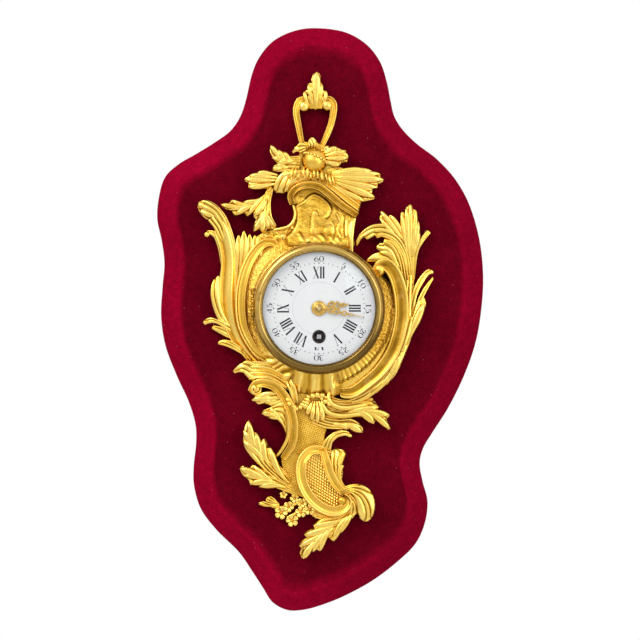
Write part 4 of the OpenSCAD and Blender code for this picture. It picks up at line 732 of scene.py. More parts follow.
def near_line(x, y, points):
    """Distance from a smooth line through the points, and which side of it, over a field of places."""
    line = curve(points, 6 * (len(points) - 1))
    best, way = np.full(np.shape(x), 1e9), np.zeros(np.shape(x))
    for a, b in zip(line[:-1], line[1:]):
        d = b - a
        k = np.clip(((x - a[0]) * d[0] + (y - a[1]) * d[1]) / (d @ d), 0, 1)
        px, py = x - a[0] - k * d[0], y - a[1] - k * d[1]
        gone = np.hypot(px, py)
        closer = gone < best
        best = np.where(closer, gone, best)
        way = np.where(closer, np.sign(d[0] * py - d[1] * px), way)
    return best, way


# The folds of the hood's rockwork: line, rise, width and the side that gets painted shade
FOLDS = (([(-14, 67.6), (-10, 69.4), (-6.6, 73), (-3, 74.6), (2, 72.2), (6, 68.6), (7.4, 65.4), (6.6, 62),
           (5, 60)], 1.0, 0.9, 1),
         ([(-4.8, 47), (-4.8, 54), (-4.4, 60), (-2.8, 63.4), (-1.2, 61.4)], 0.6, 0.8, 1),
         ([(-14.4, 67), (-13.4, 61), (-14.2, 55), (-17, 50), (-21, 46)], 0.9, 1.1, -1),
         ([(12, 62), (13.8, 57), (12.2, 52), (14.4, 47)], 0.7, 0.8, -1),
         ([(16, 60), (15.2, 54), (16, 47)], 0.6, 0.8, 1),
         ([(8.6, 56), (9.6, 51), (8.4, 46)], 0.6, 0.8, 1),
         ([(-13, 49), (-11, 45), (-8, 41)], 0.8, 0.9, 1),
         ([(-7, 44), (-5, 47.2), (-2, 45.6), (0, 42)], 0.8, 0.9, -1),
         ([(1, 48), (3.4, 45), (4, 41)], 0.7, 0.9, 1),
         ([(7, 47), (8.6, 44), (9, 41)], 0.7, 0.8, -1),
         ([(12, 46), (13.4, 43), (13, 40)], 0.7, 0.8, 1))


def rocky(x, y):
    """Rocaille: hollow under the arch, with a curled fold and eroded tongues hanging below it."""
    hollow = smooth((y - 66 + 0.35 * x) / 7)
    lump = rough(x, y, 4.6, 3, 1.0)
    skirt = smooth((53 - y) / 10) * smooth((x + 25) / 6) * smooth((22.6 - x) / 4)
    lift = 0.9 + 0.4 * lump * (1 - hollow) - 1.5 * hollow + 0.08 * rough(x, y, 1.1, 2, 8.0) + 5.2 * skirt
    painted_shade = 0.54 - 0.25 * lump * (1 - hollow) + 0.06 * hollow
    for points, rise, width, shade in FOLDS:
        gone, way = near_line(x, y, points)
        lift = lift + rise * hump(gone, width)
        painted_shade = painted_shade - 0.3 * hump(gone, width)
        # painted shade beside each fold, on its shaded side
        painted_shade = painted_shade + 0.6 * hump(gone - 1.3 * width, 0.5 * width) * (way * shade > 0)
    return lift, painted_shade


# Each relief below gives a lift and a painted shade, darker where the ground is low.
def lumpy(x, y):
    """Worn rocaille without a pattern."""
    n = rough(x, y, 2.8, 2, 3.0)
    return 0.75 * n, 0.46 - 0.6 * n


def scales(x, y):
    """A diaper of small overlapping scales in slanting rows."""
    a, pitch = math.radians(28), 2.0
    p = (x * math.cos(a) + y * math.sin(a)) / pitch
    q = (-x * math.sin(a) + y * math.cos(a)) / (pitch * 0.8)
    p = p + 0.5 * (np.floor(q) % 2)
    fx, fy = p % 1 - 0.5, q % 1
    knob = np.clip(1 - (fx / 0.46) ** 2 - ((fy - 0.45) / 0.62) ** 2, 0, 1)
    return 0.75 * np.sqrt(knob), 0.95 - 1.5 * np.sqrt(knob)


def chased(x, y):
    """Fine wavering chisel strokes, closer to fish-scale than to stipple."""
    p = (x * 0.35 + y) / 1.25 + 0.5 * rough(x, y, 5, 2, 2.0)
    q = (x - y * 0.25) / 1.4 + 0.5 * (np.floor(p) % 2)
    cell = (0.5 - 0.5 * np.cos(2 * np.pi * p)) * (0.5 - 0.5 * np.cos(2 * np.pi * q))
    return 0.26 * cell, 0.82 - 0.65 * cell + 0.25 * rough(x, y, 12, 2, 6.0)


def plain(x, y):
    """An even ground with a slight wave."""
    n = rough(x, y, 9, 2, 4.0)
    return 0.2 * n, 0.4 - 0.3 * n


def flower(part, x, y, h, r, turn=0.0):
    """An open blossom: five cupped petals with creased hearts round a stippled eye."""
    R, Q = np.meshgrid(np.linspace(1, 0.02, 26), circle(90), indexing="ij")
    petal = np.abs(np.cos(2.5 * (Q + turn)))
    reach = r * (0.68 + 0.32 * petal**0.6)
    cup = 0.42 * r * R**2 - 0.3 * r * R**6
    crease = hump(petal, 0.22) * smooth((R - 0.22) / 0.2)
    heart = hump(1 - petal, 0.02) * smooth((R - 0.3) / 0.2) * 0.35
    eye = 0.34 * r * np.exp(-((R / 0.2) ** 4)) * (1 + 0.12 * np.cos(9 * Q))
    rings = standing(on_velvet(x + reach * R * np.cos(Q), y + reach * R * np.sin(Q),
                               h + cup + eye - 0.3 * r * crease - 0.12 * r * heart))
    rings[0, :, :2] = (rings[0, :, :2] - [x, y]) * 0.6 + [x, y]
    # painted shade in the creases, round the eye and in the petals' hearts
    painted_shade = crease + 0.7 * hump(R - 0.27, 0.07) + 0.4 * heart
    part.rings(rings, np.vstack([np.ones((1, 90)), np.clip(painted_shade, 0, 1)]))


# The case's ring round the dial
CASE_PLACES = 720
CASE_REACH = (53, 51, 46.4, 43.7, 43.7, 44.6, 46, 49, 52.5, 54.5, 55, 52, 50, 50, 50, 52, 55, 58, 60, 59, 57,
              55.5, 54, 53.5)  # its outer radius, every 15 degrees from the right


def sector(deg, start, rise, stop, fall):
    """1 from one angle to another, easing in and out."""
    return smooth((deg - start) / rise) * smooth((stop - deg) / fall)


def case_relief(deg, flat, x, y):
    """The ring's rise, painted shade and matting: shell below, pleats and a band on its right, flames left.
    """
    shell = sector(deg, 244, 6, 290, 8)
    pleat = sector(deg, 282, 6, 330, 14) * smooth((0.56 - flat) / 0.2)
    band = sector(deg, 282, 6, 336, 14) * smooth((flat - 0.5) / 0.14)
    flame = sector(deg, 217, 6, 251, 5) * smooth((0.85 - flat) / 0.2)
    waver = 1.2 * np.sin(np.radians(deg * 20)) + 2 * rough(x, y, 9, 2, 7.0)
    flames = np.cos(2 * np.pi * (deg + 7 * flat) / 6.2 + waver)
    bend = deg + 5 * flat * np.sin(np.radians((deg - 267) * 2))
    flute = 0.7 * np.cos(2 * np.pi * (bend - 267) / 13) + 0.3 * np.cos(2 * np.pi * (bend - 265) / 5.2)
    pleats = np.cos(2 * np.pi * (deg + 2.4 * flat) / 3.7 + 1.6 * np.sin(np.radians(deg * 9)))
    pleats = pleats * (0.6 + 0.6 * rough(x, y, 4, 2, 9.0))
    still = 1 - np.maximum(np.maximum(shell, pleat), np.maximum(band, flame))
    bumps = rough(x, y, 1.35, 2, 5.0)
    # lit: the ground left of the bezel, raised, and given painted light where the scroll's shadow falls
    lit = smooth((-x - 25) / 12) * still
    rise = 1.15 * shell * flute * smooth(flat * 3) + 0.4 * pleat * pleats * smooth(flat * 3)
    rise = rise + 0.22 * still * bumps + 1.1 * lit * smooth(flat * 6)
    rise = rise + 0.7 * flame * flames * smooth(flat * 4)
    rise = rise - 0.5 * band * np.sin(np.pi * np.clip((flat - 0.45) / 0.55, 0, 1))
    # painted shade between flutes, pleats and flames, on the band and on the plain ground
    painted_shade = shell * np.clip(0.38 - 0.5 * flute, 0, 1) + pleat * np.clip(0.4 - 0.45 * pleats, 0, 1)
    painted_shade = painted_shade + still * np.clip(0.46 - 0.22 * lit - 0.45 * bumps, 0, 1) + 0.22 * band
    painted_shade = painted_shade + flame * np.clip(0.34 - 0.6 * flames, 0, 1)
    return rise, painted_shade, 0.9 * still + 0 * x


def case_ring(part):
    """The ring that carries the dial work, with its relief and a channel on the right for the big scroll."""
    a = np.radians(np.arange(0, 360, 360 / CASE_PLACES))
    deg = np.degrees(a)
    edge = closed([[r, 0] for r in CASE_REACH], CASE_PLACES)[:, 0]
    flat = np.linspace(0, 1, 34)[:, None]
    inner = 43.2
    radius = inner + (edge[None, :] - inner) * flat
    x, y = radius * np.cos(a), radius * np.sin(a)
    fall = between(flat, [0, 0.25, 0.6, 0.85, 0.95, 1], [12.0, 10.6, 9.2, 7.4, 6.0, 4.4])
    rise, painted_shade, matt = case_relief(deg, flat, x, y)
    channel = smooth((deg - 276) / 10) * smooth((flat - 0.3) / 0.4)
    face = on_velvet(x, y, fall + rise + 3.2 * channel * smooth((1.02 - flat) / 0.1))

    def ring(r, h):
        r = np.broadcast_to(r, a.shape)
        return on_velvet(r * np.cos(a), r * np.sin(a), np.full(a.shape, h))[None]

    lip = [ring(r, h) for r, h in ((38.4, FOOT), (38.4, 13.6), (38.7, 13.8), (41.9, 13.8), (42.4, 13.5))]
    one = np.ones((1, CASE_PLACES))
    # painted shade: dark on the lip under the bezel, then the face's own values
    deep_shade = np.vstack([one, one, 0.5 * one, 0.4 * one, 0.7 * one, np.clip(painted_shade, 0, 1), one])
    part.rings(np.concatenate([*lip, face, ring(edge, FOOT)]), deep_shade,
               np.vstack([np.zeros((5, CASE_PLACES)), matt, 0 * one]), ends=False)


# The castings, each named like the node that it stands for

def case_body(part):
    """The ring round the dial, both C-scrolls and the leaves and buds under the right one."""
    case_ring(part)
    scroll(part, [[-26, 38, 8], [-30, 43, 9.5], [-37, 42, 11], [-44.5, 33, 12], [-49.5, 20, 12.5],
                  [-51.6, 5, 12.5], [-50.4, -10, 12.5], [-46, -21, 12], [-40, -29.5, 11], [-33, -33.5, 9]],
           3.6, flip=True)
    scroll(part, [[38.6, 21.6, 9], [38.8, 25.6, 10], [41.6, 28.4, 11], [45.8, 27.6, 11.5], [50.3, 21, 12.5],
                  [53.4, 10, 13], [54.2, -3, 13], [52.4, -16, 13], [48, -29, 12.5], [40.6, -40, 12],
                  [32, -48, 11.5], [22, -54.8, 11.4], [13.6, -55, 10.6]], 4.8, even=0.76, tone=0.3)
    ball(part, (39.9, 25.2, 8.2), 4.1, 40, 0.85, hollow=0.2)
    for lobe in (((44, -50), (49.6, -40.6), (53.4, -29.4), 4.6, 10.6),
                 ((37.6, -55), (44, -48.4), (48.6, -40.4), 4.2, 10),
                 ((56.6, -25), (62.6, -10.6), (69.2, 3.6), 5.6, 10.2)):
        leaflet(part, *lobe)
    volute(part, -28.4, 38.8, 7.5, 3.2, way=-1)
    volute(part, -34.0, -32.6, 7.5, 2.8)
    blade(part, [[-23, -46], [-21, -51], [-18.8, -57], [-17, -63]],
          [[-19, -44.4], [-15.8, -50], [-13.8, -57], [-13.6, -62]], [7, 10, 9.8, 8], 0, tip=0.0,
          form=[0.2, 0.6, -0.8, 0.5, 0.2])
    blade(part, [[61, -14], [58.5, -24], [55, -34], [50.5, -43.5], [44, -50.5], [37, -56], [30, -60.4],
                 [23, -62.5]],
          [[55, -10], [53, -22], [49.4, -32], [43.6, -41.5], [36.6, -49], [29.4, -54.5], [22.6, -58],
           [17, -60.4]],
          [7.5, 9, 9, 9, 8.5, 7.5], 2)
    blade(part, [[63, -6], [60, -16], [56.8, -25], [53.6, -31]],
          [[57, -4], [55, -14], [52.6, -23], [51, -29]], [9, 10.4, 10.8, 9.4], 2)
    blade(part, [[55.8, -28], [54, -35], [50.4, -42], [46, -48]],
          [[50.4, -29], [48.4, -35], [45.8, -41], [43.8, -47]], [9.6, 11, 10.8, 8.6], 2)
    blade(part, [[48.6, -43], [44, -49.4], [38, -54.4], [31, -58.6]],
          [[44.6, -43], [41, -47.6], [36, -51.8], [30, -56]], [9, 10.2, 9.8, 7.6], 2)


def hood(part):
    """The arch over the dial, its hollow rockwork and the ground on its left."""
    patch(part, [[-22, 41], [-21.4, 50], [-18, 55], [-16, 61], [-16.4, 67], [-17.4, 73], [-13.4, 78],
                 [-6, 80], [2, 78], [9, 72], [17, 65.5], [24, 61], [24, 56], [22.2, 49], [22, 40], [2, 41]],
          6.4, rocky, 96, 320, 0.2)
    patch(part, [[-46, 43], [-41, 47.6], [-34, 50.8], [-27, 52], [-21, 53.2], [-17, 57], [-13, 55],
                 [-13, 44], [-20, 40], [-30, 38], [-40, 39]], 7.4, lumpy, 40, 200, 0.2)
    scroll(part, [[-17.4, 68, 9], [-18.7, 74, 10], [-14.4, 79, 11.4], [-7, 81, 12], [0.4, 79.6, 12],
                  [7, 74.6, 11.5], [14.6, 68.2, 10.5], [21, 63.8, 9.8], [25.4, 61, 9]],
           2.5, even=0.8, tone=0.35)
    scroll(part, [[-17, 68, 8], [-15.7, 62.6, 9], [-16.8, 57.4, 9.4], [-20, 53.8, 9.4], [-25, 52.4, 9],
                  [-30, 51.6, 8]], 1.25, PLAIN, even=0.9, tone=0.1)
    volute(part, -23, 46.4, 7.4, 2.6, 1.2, -1)
    volute(part, -35.4, 47.6, 7.0, 2.2, 1.2)
    blade(part, [[16.6, 36], [16.8, 48], [17.2, 60]],
          [[22.6, 36], [22.8, 48], [24.6, 59.4]], [9.4, 9.8, 8.8, 6.6], 0, tip=0.0,
          form=[0.5, 0.6, -0.7, 0.4, 0.7, 0.3])


FRUIT = (-3, 97, 6)
FRUIT_RADIUS = 8.4
BAND_TILT, BAND_BEADS, BAND_BEAD = math.radians(-24), 22, 1.15  # the last is a bead's radius
BAND_AXES, BAND_UP = (8.2, 1.6, 8.0), 1.5  # half axes across, up and out, and how far over the fruit's middle


def gourd(az, po):
    """The fruit's faint flutes, deepest round its middle."""
    return 1 - 0.007 * (1 + np.cos(14 * az)) * np.sin(po) ** 3


def fruit(part):
    """The fluted fruit of the crest, with a tilted band of beads round its front."""
    ball(part, FRUIT, FRUIT_RADIUS, 64, 1.0, gourd, hollow=0.3)
    c, s = math.cos(BAND_TILT), math.sin(BAND_TILT)
    for k in range(BAND_BEADS):
        t = k * 2 * math.pi / BAND_BEADS
        if math.sin(t) < -0.55:
            continue
        x, y = BAND_AXES[0] * math.cos(t), BAND_AXES[1] * math.sin(t) + BAND_UP
        out = BAND_AXES[2] * math.sin(t)
        ball(part, (FRUIT[0] + (x * c - y * s), FRUIT[1] + (x * s + y * c), FRUIT[2] + out), BAND_BEAD, 14)


def crest_leaves(part):
    """The leaves that burst out round the fruit, and the fringe below it."""
    patch(part, [[-22, 84], [-16, 92], [-13, 103], [-8, 108], [0, 109], [7, 105], [11, 96], [18, 88],
                 [16, 80], [6, 78], [-8, 82]], 4, plain, 30, 160)
    blade(part, [[-12, 92], [-20, 94], [-27, 94.6], [-31, 99.6], [-32.4, 103.5], [-31.8, 107]],
          [[-12, 101], [-18, 100.2], [-22, 101], [-23.6, 103.2], [-24.6, 101.6], [-26.8, 104.4],
           [-27.4, 102.6], [-30, 106.2], [-31.4, 107.4]], [7, 8, 8, 7], 4)
    blade(part, [[-13, 88], [-20, 89.5], [-27, 89.6], [-30.6, 90.4]],
          [[-13, 97], [-20, 96.4], [-26, 95.6], [-29.6, 93.8], [-30.8, 91.4]], [7, 8, 7.5, 6.5], 3)
    blade(part, [[-30, 80.5], [-35, 78.6], [-41, 78.2], [-46.5, 79.6], [-44, 81.8], [-47, 82.6],
                 [-49, 84.2]],
          [[-27, 89.5], [-33, 87.8], [-38, 88], [-40.8, 88.9], [-42.5, 87.2], [-46, 87], [-49, 85.4]],
          [5.5, 7, 7, 6], 4)
    blade(part, [[-15, 87], [-18, 82], [-20, 77.5], [-22.5, 75.6]],
          [[-22, 91], [-27, 87], [-30, 80], [-28.5, 75.8]], [8, 8.5, 8, 6.5], 2)
    blade(part, [[-8, 104], [-12, 102.2], [-14.5, 103.2], [-17.6, 101.6]],
          [[-5, 108.5], [-9, 109.8], [-12.5, 109], [-15.6, 106], [-17.8, 103]], [6, 7.5, 8, 6.5], 3)
    blade(part, [[-6.5, 104], [-7.6, 108], [-6.8, 111]],
          [[-1.5, 103], [-0.6, 108], [-3, 112], [-5.5, 112.3]], [6, 7.5, 6.5], 3)
    blade(part, [[1, 104.5], [4.5, 106.4], [8, 104.4], [12.5, 105.6], [17, 103.4], [19.4, 100.4],
                 [18.6, 96.4]],
          [[4, 94], [9, 94.6], [12.6, 93.4], [14.6, 95.4], [17, 95.6], [18.2, 96]], [6.5, 8, 8, 6.5], 4)
    blade(part, [[5, 91.6], [12, 93], [20, 91.4], [27, 90.2], [33.8, 90.2], [34.6, 88.4], [39.8, 88.8],
                 [40.2, 86.8], [42.6, 84.6]],
          [[5, 87.4], [13, 85.6], [22, 82.5], [30, 80], [34, 79.4], [38.4, 79], [38.4, 81], [42.4, 83.6]],
          [7, 8.5, 8, 7], 5)
    blade(part, [[6, 87.6], [15, 86], [24, 82.6], [31, 79.4], [35.4, 77.4], [33.8, 75.8], [36.8, 72.8]],
          [[6, 83], [13, 78.4], [21, 71.5], [26.5, 69.5], [31, 70.2], [36.4, 71.8]], [7.5, 8.5, 8, 6.5], 5)
    blade(part, [[6, 85], [14, 80], [22, 75], [28, 70.5]],
          [[3, 79.4], [10.4, 73], [18.4, 66], [25.6, 61]], [10, 9.6, 9, 7.6], 0,
          form=[0.3, -0.7, 0.5, -0.7, 0.6, -0.6, 0.3])
    blade(part, [[-24, 88], [-17, 90.6], [-9, 91], [-2, 90]],
          [[-20.6, 75.6], [-16, 81], [-8, 83], [-1, 82]], [8.4, 9.4, 9.4, 8.6], 0, tip=0.0,
          form=[0.3, 0.4, -0.4, 0.2, -0.3, -0.9])
    for k in range(12):
        x = -18 + 2.5 * k + 0.4 * math.sin(5.1 * k)
        low = np.interp(x, [-18, -9, 0, 6, 11], [84.8, 85, 84.2, 81.6, 79.6]) + 0.8 * math.sin(2.3 * k)
        lean, high = 0.09 * (x + 3), low + 7.4 + 0.6 * math.cos(1.7 * k)
        stem(part, [[x - lean, high, 8.6], [x - 0.4 * lean, high - 2.4, 10.6],
                    [x + 0.3 * lean, low + 2, 11.2 + 0.5 * math.sin(4.1 * k)], [x + lean, low, 9.6]],
             0.85 + 0.2 * math.sin(3.3 * k))
    fan(part, (8, 87.4), (0, -4), [(31, 90.6), (35, 90), (40.2, 88.4), (42.6, 84.6), (38.8, 79.4)], 5.4, 9.8)
    fan(part, (9, 83.6), (-1, -4), [(35.4, 77.4), (36.8, 72.9), (30.4, 70.4)], 5.4, 9.6)
    lobes(part, [(-10, 97), (-19, 97), (-26, 99), (-31.8, 107.2)],
          [(-22.6, 103), (-26.8, 104.4), (-31.8, 107.2), (-31, 99), (-27.6, 95)], 4.4, 9)
    lobes(part, [(-12, 92), (-21, 92.6), (-30.8, 91.6)], [(-30.8, 91.6), (-28.4, 94.6)], 4.2, 8.6)
    fan(part, (-27, 85), (0, -5), [(-41, 88.8), (-46.2, 87), (-49, 84.8), (-46.8, 79.8)], 4.6, 8.2)
    fan(part, (2, 100), (0, -5),
        [(7, 105.6), (12.6, 105.4), (18, 103.4), (19.4, 99), (14.4, 94.6)], 4.4, 8.8)


def hanging_loop(part):
    """The pierced loop over the crest, with its palmette."""
    scroll(part, [[-10, 106, 4], [-11.5, 110, 4.5], [-13.5, 120, 5], [-15, 130, 5.5], [-13, 136.5, 5.5],
                  [-9, 137.5, 5], [-8, 134, 4.5]], 2.4)
    scroll(part, [[1, 105, 4], [3, 109, 4.5], [7.5, 120, 5], [9.5, 129, 5.5], [9.5, 135, 5.5], [6.5, 138, 5],
                  [4, 135, 4.5]], 2.4, flip=True)
    scroll(part, [[-10, 132.6, 3], [-2.4, 133.4, 3.4], [5, 132.8, 3]], 1.8, PLAIN, tone=0.6)
    ball(part, (-9.8, 133, 4.6), 3.5, 32, 0.75, hollow=0.1)
    ball(part, (5.6, 133.4, 4.6), 3.4, 32, 0.75, hollow=0.1)
    blade(part, [[-7, 131.4], [-6.6, 135], [-7.6, 138], [-7.2, 140.4], [-9.6, 143.2], [-7, 143.6],
                 [-5.8, 145], [-7, 148.2], [-5, 148], [-5.2, 151], [-3.8, 154.2], [-1.8, 155.6]],
          [[2.6, 131.4], [2.4, 135], [3.8, 138], [3, 140.2], [4.6, 143.6], [2.2, 143.4], [1, 145.4],
           [2, 148], [0.9, 148.6], [1.4, 152], [0.4, 154.6], [-1, 155.6]], [5, 6.2, 6.2, 5.8, 4.4], 5)
    fan(part, (-2.2, 132), (7, 0), [(-9.4, 143.2), (-6.9, 148), (1.9, 148), (4.5, 143.5)], 3.8, 6.0)
    leaflet(part, (-2.2, 130.8), (-2.0, 143.0), (-1.5, 155.8), 6.6, 6.5)


def left_spray(part):
    """The leaves that hang from the crest on the left."""
    blade(part, [[-30, 79], [-36, 70.5], [-41, 65.5], [-44.5, 62.2], [-47.2, 60.4], [-49, 62.2], [-52, 61.8],
                 [-55.5, 61], [-57.5, 63.8], [-61, 65], [-64.6, 67.6]],
          [[-33, 81.5], [-36.5, 74.5], [-40, 70.5], [-45, 69], [-50, 69.6], [-54.4, 70.2], [-57.6, 71.3],
           [-58.2, 69.8], [-61, 69.2], [-64.6, 68.8]], [5, 6.5, 7, 7, 6], 4)
    blade(part, [[-31, 81], [-32, 72], [-34.4, 62], [-36, 56], [-38, 51.6], [-40.4, 52.4], [-42, 50.4]],
          [[-34.4, 78], [-39, 70], [-42.8, 65.5], [-43.2, 60.5], [-41.6, 58.6], [-43, 54], [-43.2, 50.4]],
          [5, 7, 8, 8, 7], 4)
    blade(part, [[-29.4, 80], [-31.2, 72], [-31.4, 66], [-30.4, 60], [-28, 55], [-28.4, 52.8]],
          [[-33, 78], [-36, 70], [-37.4, 62], [-36.6, 56], [-34.6, 52.4], [-31, 51.8], [-29, 52.4]],
          [5, 7.6, 8.6, 8.2, 7], 3)
    blade(part, [[-31, 76], [-32.6, 66], [-32.8, 58], [-33.6, 52.6], [-35.4, 49.6]],
          [[-33.4, 77], [-37.4, 68], [-39.6, 60], [-39, 54], [-37, 49.6]], [5.4, 8.4, 9.4, 9, 7.4], 3)
    lobes(part, [(-33, 79), (-38, 71.5), (-46, 67), (-55, 66.4), (-64.6, 68.2)],
          [(-57.6, 71.2), (-50, 69.8), (-64.6, 68.2), (-60.6, 65.2), (-55.4, 61.2), (-47.2, 60.6)], 4.2, 8.4)
    lobes(part, [(-32, 79), (-34.6, 70), (-36.6, 60), (-37, 49.6)],
          [(-43, 60.4), (-42.8, 50.6), (-39.8, 52), (-37, 49.6), (-32.4, 51.8), (-28.6, 53.2)], 4.6, 9.8)


def left_frond(part):
    """The long hollow frond up the left side, its shoots and the reeds beside it."""
    blade(part, [[-46, -36], [-52, -29], [-58, -21], [-63, -10], [-65.5, 0], [-66, 10], [-65.3, 20],
                 [-64.3, 30], [-65.5, 40], [-68, 47], [-68.5, 53], [-73, 58.5], [-74.5, 58.8], [-78, 62.5],
                 [-79.8, 66.5]],
          [[-37, -35], [-43, -29.5], [-48.5, -21], [-52, -11], [-53.6, 0], [-54, 10], [-53.8, 20],
           [-53.6, 30], [-54.2, 40], [-56.5, 50], [-60, 59], [-64.5, 65.5], [-70, 70], [-75, 71.3],
           [-79, 69.8]],
          [5, 7, 8.5, 9, 9, 9.4, 9.6, 8], 0, form=[0.4, -0.5, -1.3, -0.5, 0.6, 1.1, 0.8, -0.3, 0.2])
    blade(part, [[-65, 44], [-68.6, 52], [-72.8, 57.4], [-71.2, 58.8], [-78, 62.6], [-76.2, 64],
                 [-79.8, 67]],
          [[-57.4, 44], [-60.4, 57.6], [-65, 65], [-70.4, 69.6], [-75.4, 71.2], [-79, 69.8]],
          [8.6, 10.6, 10.8, 9], 3)
    ball(part, (-77.2, 67.6, 9.4), 2.3, 28, 0.8)
    blade(part, [[-64.6, 28], [-66.4, 39], [-69, 46.6], [-71.6, 48.6], [-73, 47]],
          [[-62, 34], [-64.4, 45], [-67.6, 50.4], [-72.4, 51.4], [-75.2, 49.4]], [7, 8, 8, 6.6], 2)
    ball(part, (-73.6, 48.6, 6.4), 1.9, 24, 0.8)
    blade(part, [[-60, -18], [-66, -8], [-69.5, 0], [-71.2, 8], [-71, 14], [-69.5, 18.5], [-67.5, 20],
                 [-66.2, 21.8]],
          [[-56, -14], [-62.4, -3], [-64.6, 6], [-65.2, 14], [-65, 19], [-65.6, 21.6]],
          [5, 8, 9.4, 9, 7.5], 2)
    blade(part, [[-56, -18], [-65, -11.2], [-69.5, -9.6], [-73.5, -10.3], [-75, -11]],
          [[-56, -11], [-65.5, -7.6], [-70, -6], [-74, -6.6], [-76.6, -9.2]], [6, 8, 8.5, 6.5], 2)
    blade(part, [[-53, -23], [-62, -18.5], [-70.5, -13.4]],
          [[-55, -14], [-63, -12], [-69, -11.2], [-70.6, -12.8]], [5, 7, 6.4], 2)
    blade(part, [[-44, -35], [-53, -29], [-60, -25.5], [-66.5, -23.6]],
          [[-50, -26], [-57, -21.5], [-63, -20.4], [-66.6, -22.4]], [5.5, 7.4, 7.2, 6], 3)
    blade(part, [[-47, -34.5], [-38, -34.5], [-30, -36], [-20, -42]],
          [[-46, -47], [-38, -46], [-30, -47.5], [-19, -55]], [8, 9, 9, 8.5], 0, tip=0.0,
          form=[0.6, -0.4, 0.7, -0.6, 0.8, -0.5, 0.4])
    blade(part, [[-42, -49], [-46, -46.6], [-49.5, -42.5], [-52.5, -42], [-55.5, -42.8]],
          [[-40, -35], [-47, -34], [-52, -36.4], [-55.4, -39.4], [-56.8, -41.6]], [7, 8.6, 8.6, 6.4], 3)
    for x, y, low in ((-52.6, 48.4, -54.6), (-49.2, 51.2, -52.2), (-45.4, 49, -48.6), (-42, 48.4, -45.2),
                      (-39.2, 47.6, -42)):
        blade(part, [[low - 0.6, 16], [low - 0.2, 32], [x - 2.3, y - 8], [x - 1.7, y - 3.4], [x - 0.3, y]],
              [[low + 3, 16], [low + 4.6, 32], [x + 2.4, y - 8], [x + 1.7, y - 3.6], [x + 0.2, y - 0.2]],
              [8, 8.8, 9, 8], 2)


def right_spray(part):
    """The leaves that rise from the right C-scroll."""
    patch(part, [[48, 24], [53, 36], [57, 40], [62, 30], [63, 16], [62, 4], [58, -14], [54, -8], [55, 8]],
          4, plain, 30, 160)
    blade(part, [[57, 14], [55, 32], [51.5, 40], [47, 44.6], [41, 46.8], [38, 45.8], [36.6, 47.6],
                 [31.6, 45], [30.6, 47], [27.6, 45.6], [25.6, 41.6]],
          [[62, 16], [60.5, 34], [57, 44.5], [52, 51.2], [46, 54.8], [40, 56], [33.5, 54.6], [27.5, 50],
           [24.4, 44.5], [24.6, 41]], [5, 7.5, 8.4, 8.4, 7.6, 6.6], 4)
    blade(part, [[54, 10], [50.6, 26], [46, 34.4], [42, 36.6], [40, 37.6], [37.6, 39.4]],
          [[60, 14], [57, 33], [52, 42.6], [47, 46], [42.4, 45.8], [43.6, 43.8], [40, 43], [37.6, 40.6]],
          [5, 8, 8.6, 8, 6.6], 4)
    blade(part, [[51, 14], [46, 28], [41, 30], [36, 30.4], [31.4, 30.8]],
          [[57, 18], [50.4, 34.6], [45, 38], [38.5, 37], [34, 34.6], [31.2, 31.6]], [6, 8.4, 8.2, 6.6], 3)
    blade(part, [[57, 34], [53, 48], [48, 53.6], [43, 56.8], [39.6, 59.4], [40.4, 61], [40.2, 64]],
          [[60, 38], [57, 50], [53, 56], [49, 60], [47, 61.8], [46, 60.4], [43, 63.2], [41, 64.2]],
          [6, 7, 7.5, 7, 6], 4)
    blade(part, [[58.5, 16], [58, 36], [55.4, 50], [53.4, 58], [53.8, 63.6], [55.4, 62.2], [57.4, 66.6],
                 [60, 68.4]],
          [[62.5, 16], [63, 36], [64.8, 46], [65.4, 51.6], [64.2, 54], [65.2, 57.4], [63.8, 60.4],
           [64, 64.4], [61.8, 65.4], [60.8, 68]], [5, 7, 8, 8, 6.5], 5)
    blade(part, [[60, 20], [63.5, 38], [66.5, 45.5], [70.5, 51], [72, 51.2]],
          [[63, 18], [65, 36], [69, 44], [73.2, 49.2], [73, 50.6]], [4.5, 6.5, 7, 6], 2)
    blade(part, [[57.5, -8], [60.5, 8], [64, 17], [68.5, 23.5], [72, 26], [75.4, 24.4]],
          [[61.5, -8], [64.5, 8], [68.5, 16.5], [72, 22], [75.4, 23.2]], [6, 7.5, 7.5, 6], 2)
    blade(part, [[59, -10], [65, 6], [69.5, 14.5], [75, 21]],
          [[63, -12], [68, 5], [71.5, 12.5], [75.4, 19.6]], [6, 7.5, 7.5, 6], 2)
    blade(part, [[52, -30], [57, -18], [61, -6], [64.5, 4], [67.5, 8]],
          [[56, -32], [61, -19], [65.5, -8], [69.4, -1], [70.4, 4], [69, 7.6]], [8, 9, 9.4, 9, 7], 3)
    blade(part, [[60.4, -18], [60.8, -4], [61, 12], [61.5, 24]],
          [[55, -18], [55, -4], [56, 10], [58.5, 24]], [8, 8, 8, 6], 2, tip=0.0)
    fan(part, (60.4, 34), (3.4, 0),
        [(54.2, 63.4), (57.4, 66.2), (60.2, 68.4), (63.8, 64.4), (65.2, 57.4), (65.4, 51.8)], 4.2, 9)
    fan(part, (57.6, 42), (1, 3), [(39.8, 59.6), (40.5, 64), (46.8, 61.6)], 4.4, 8.4)


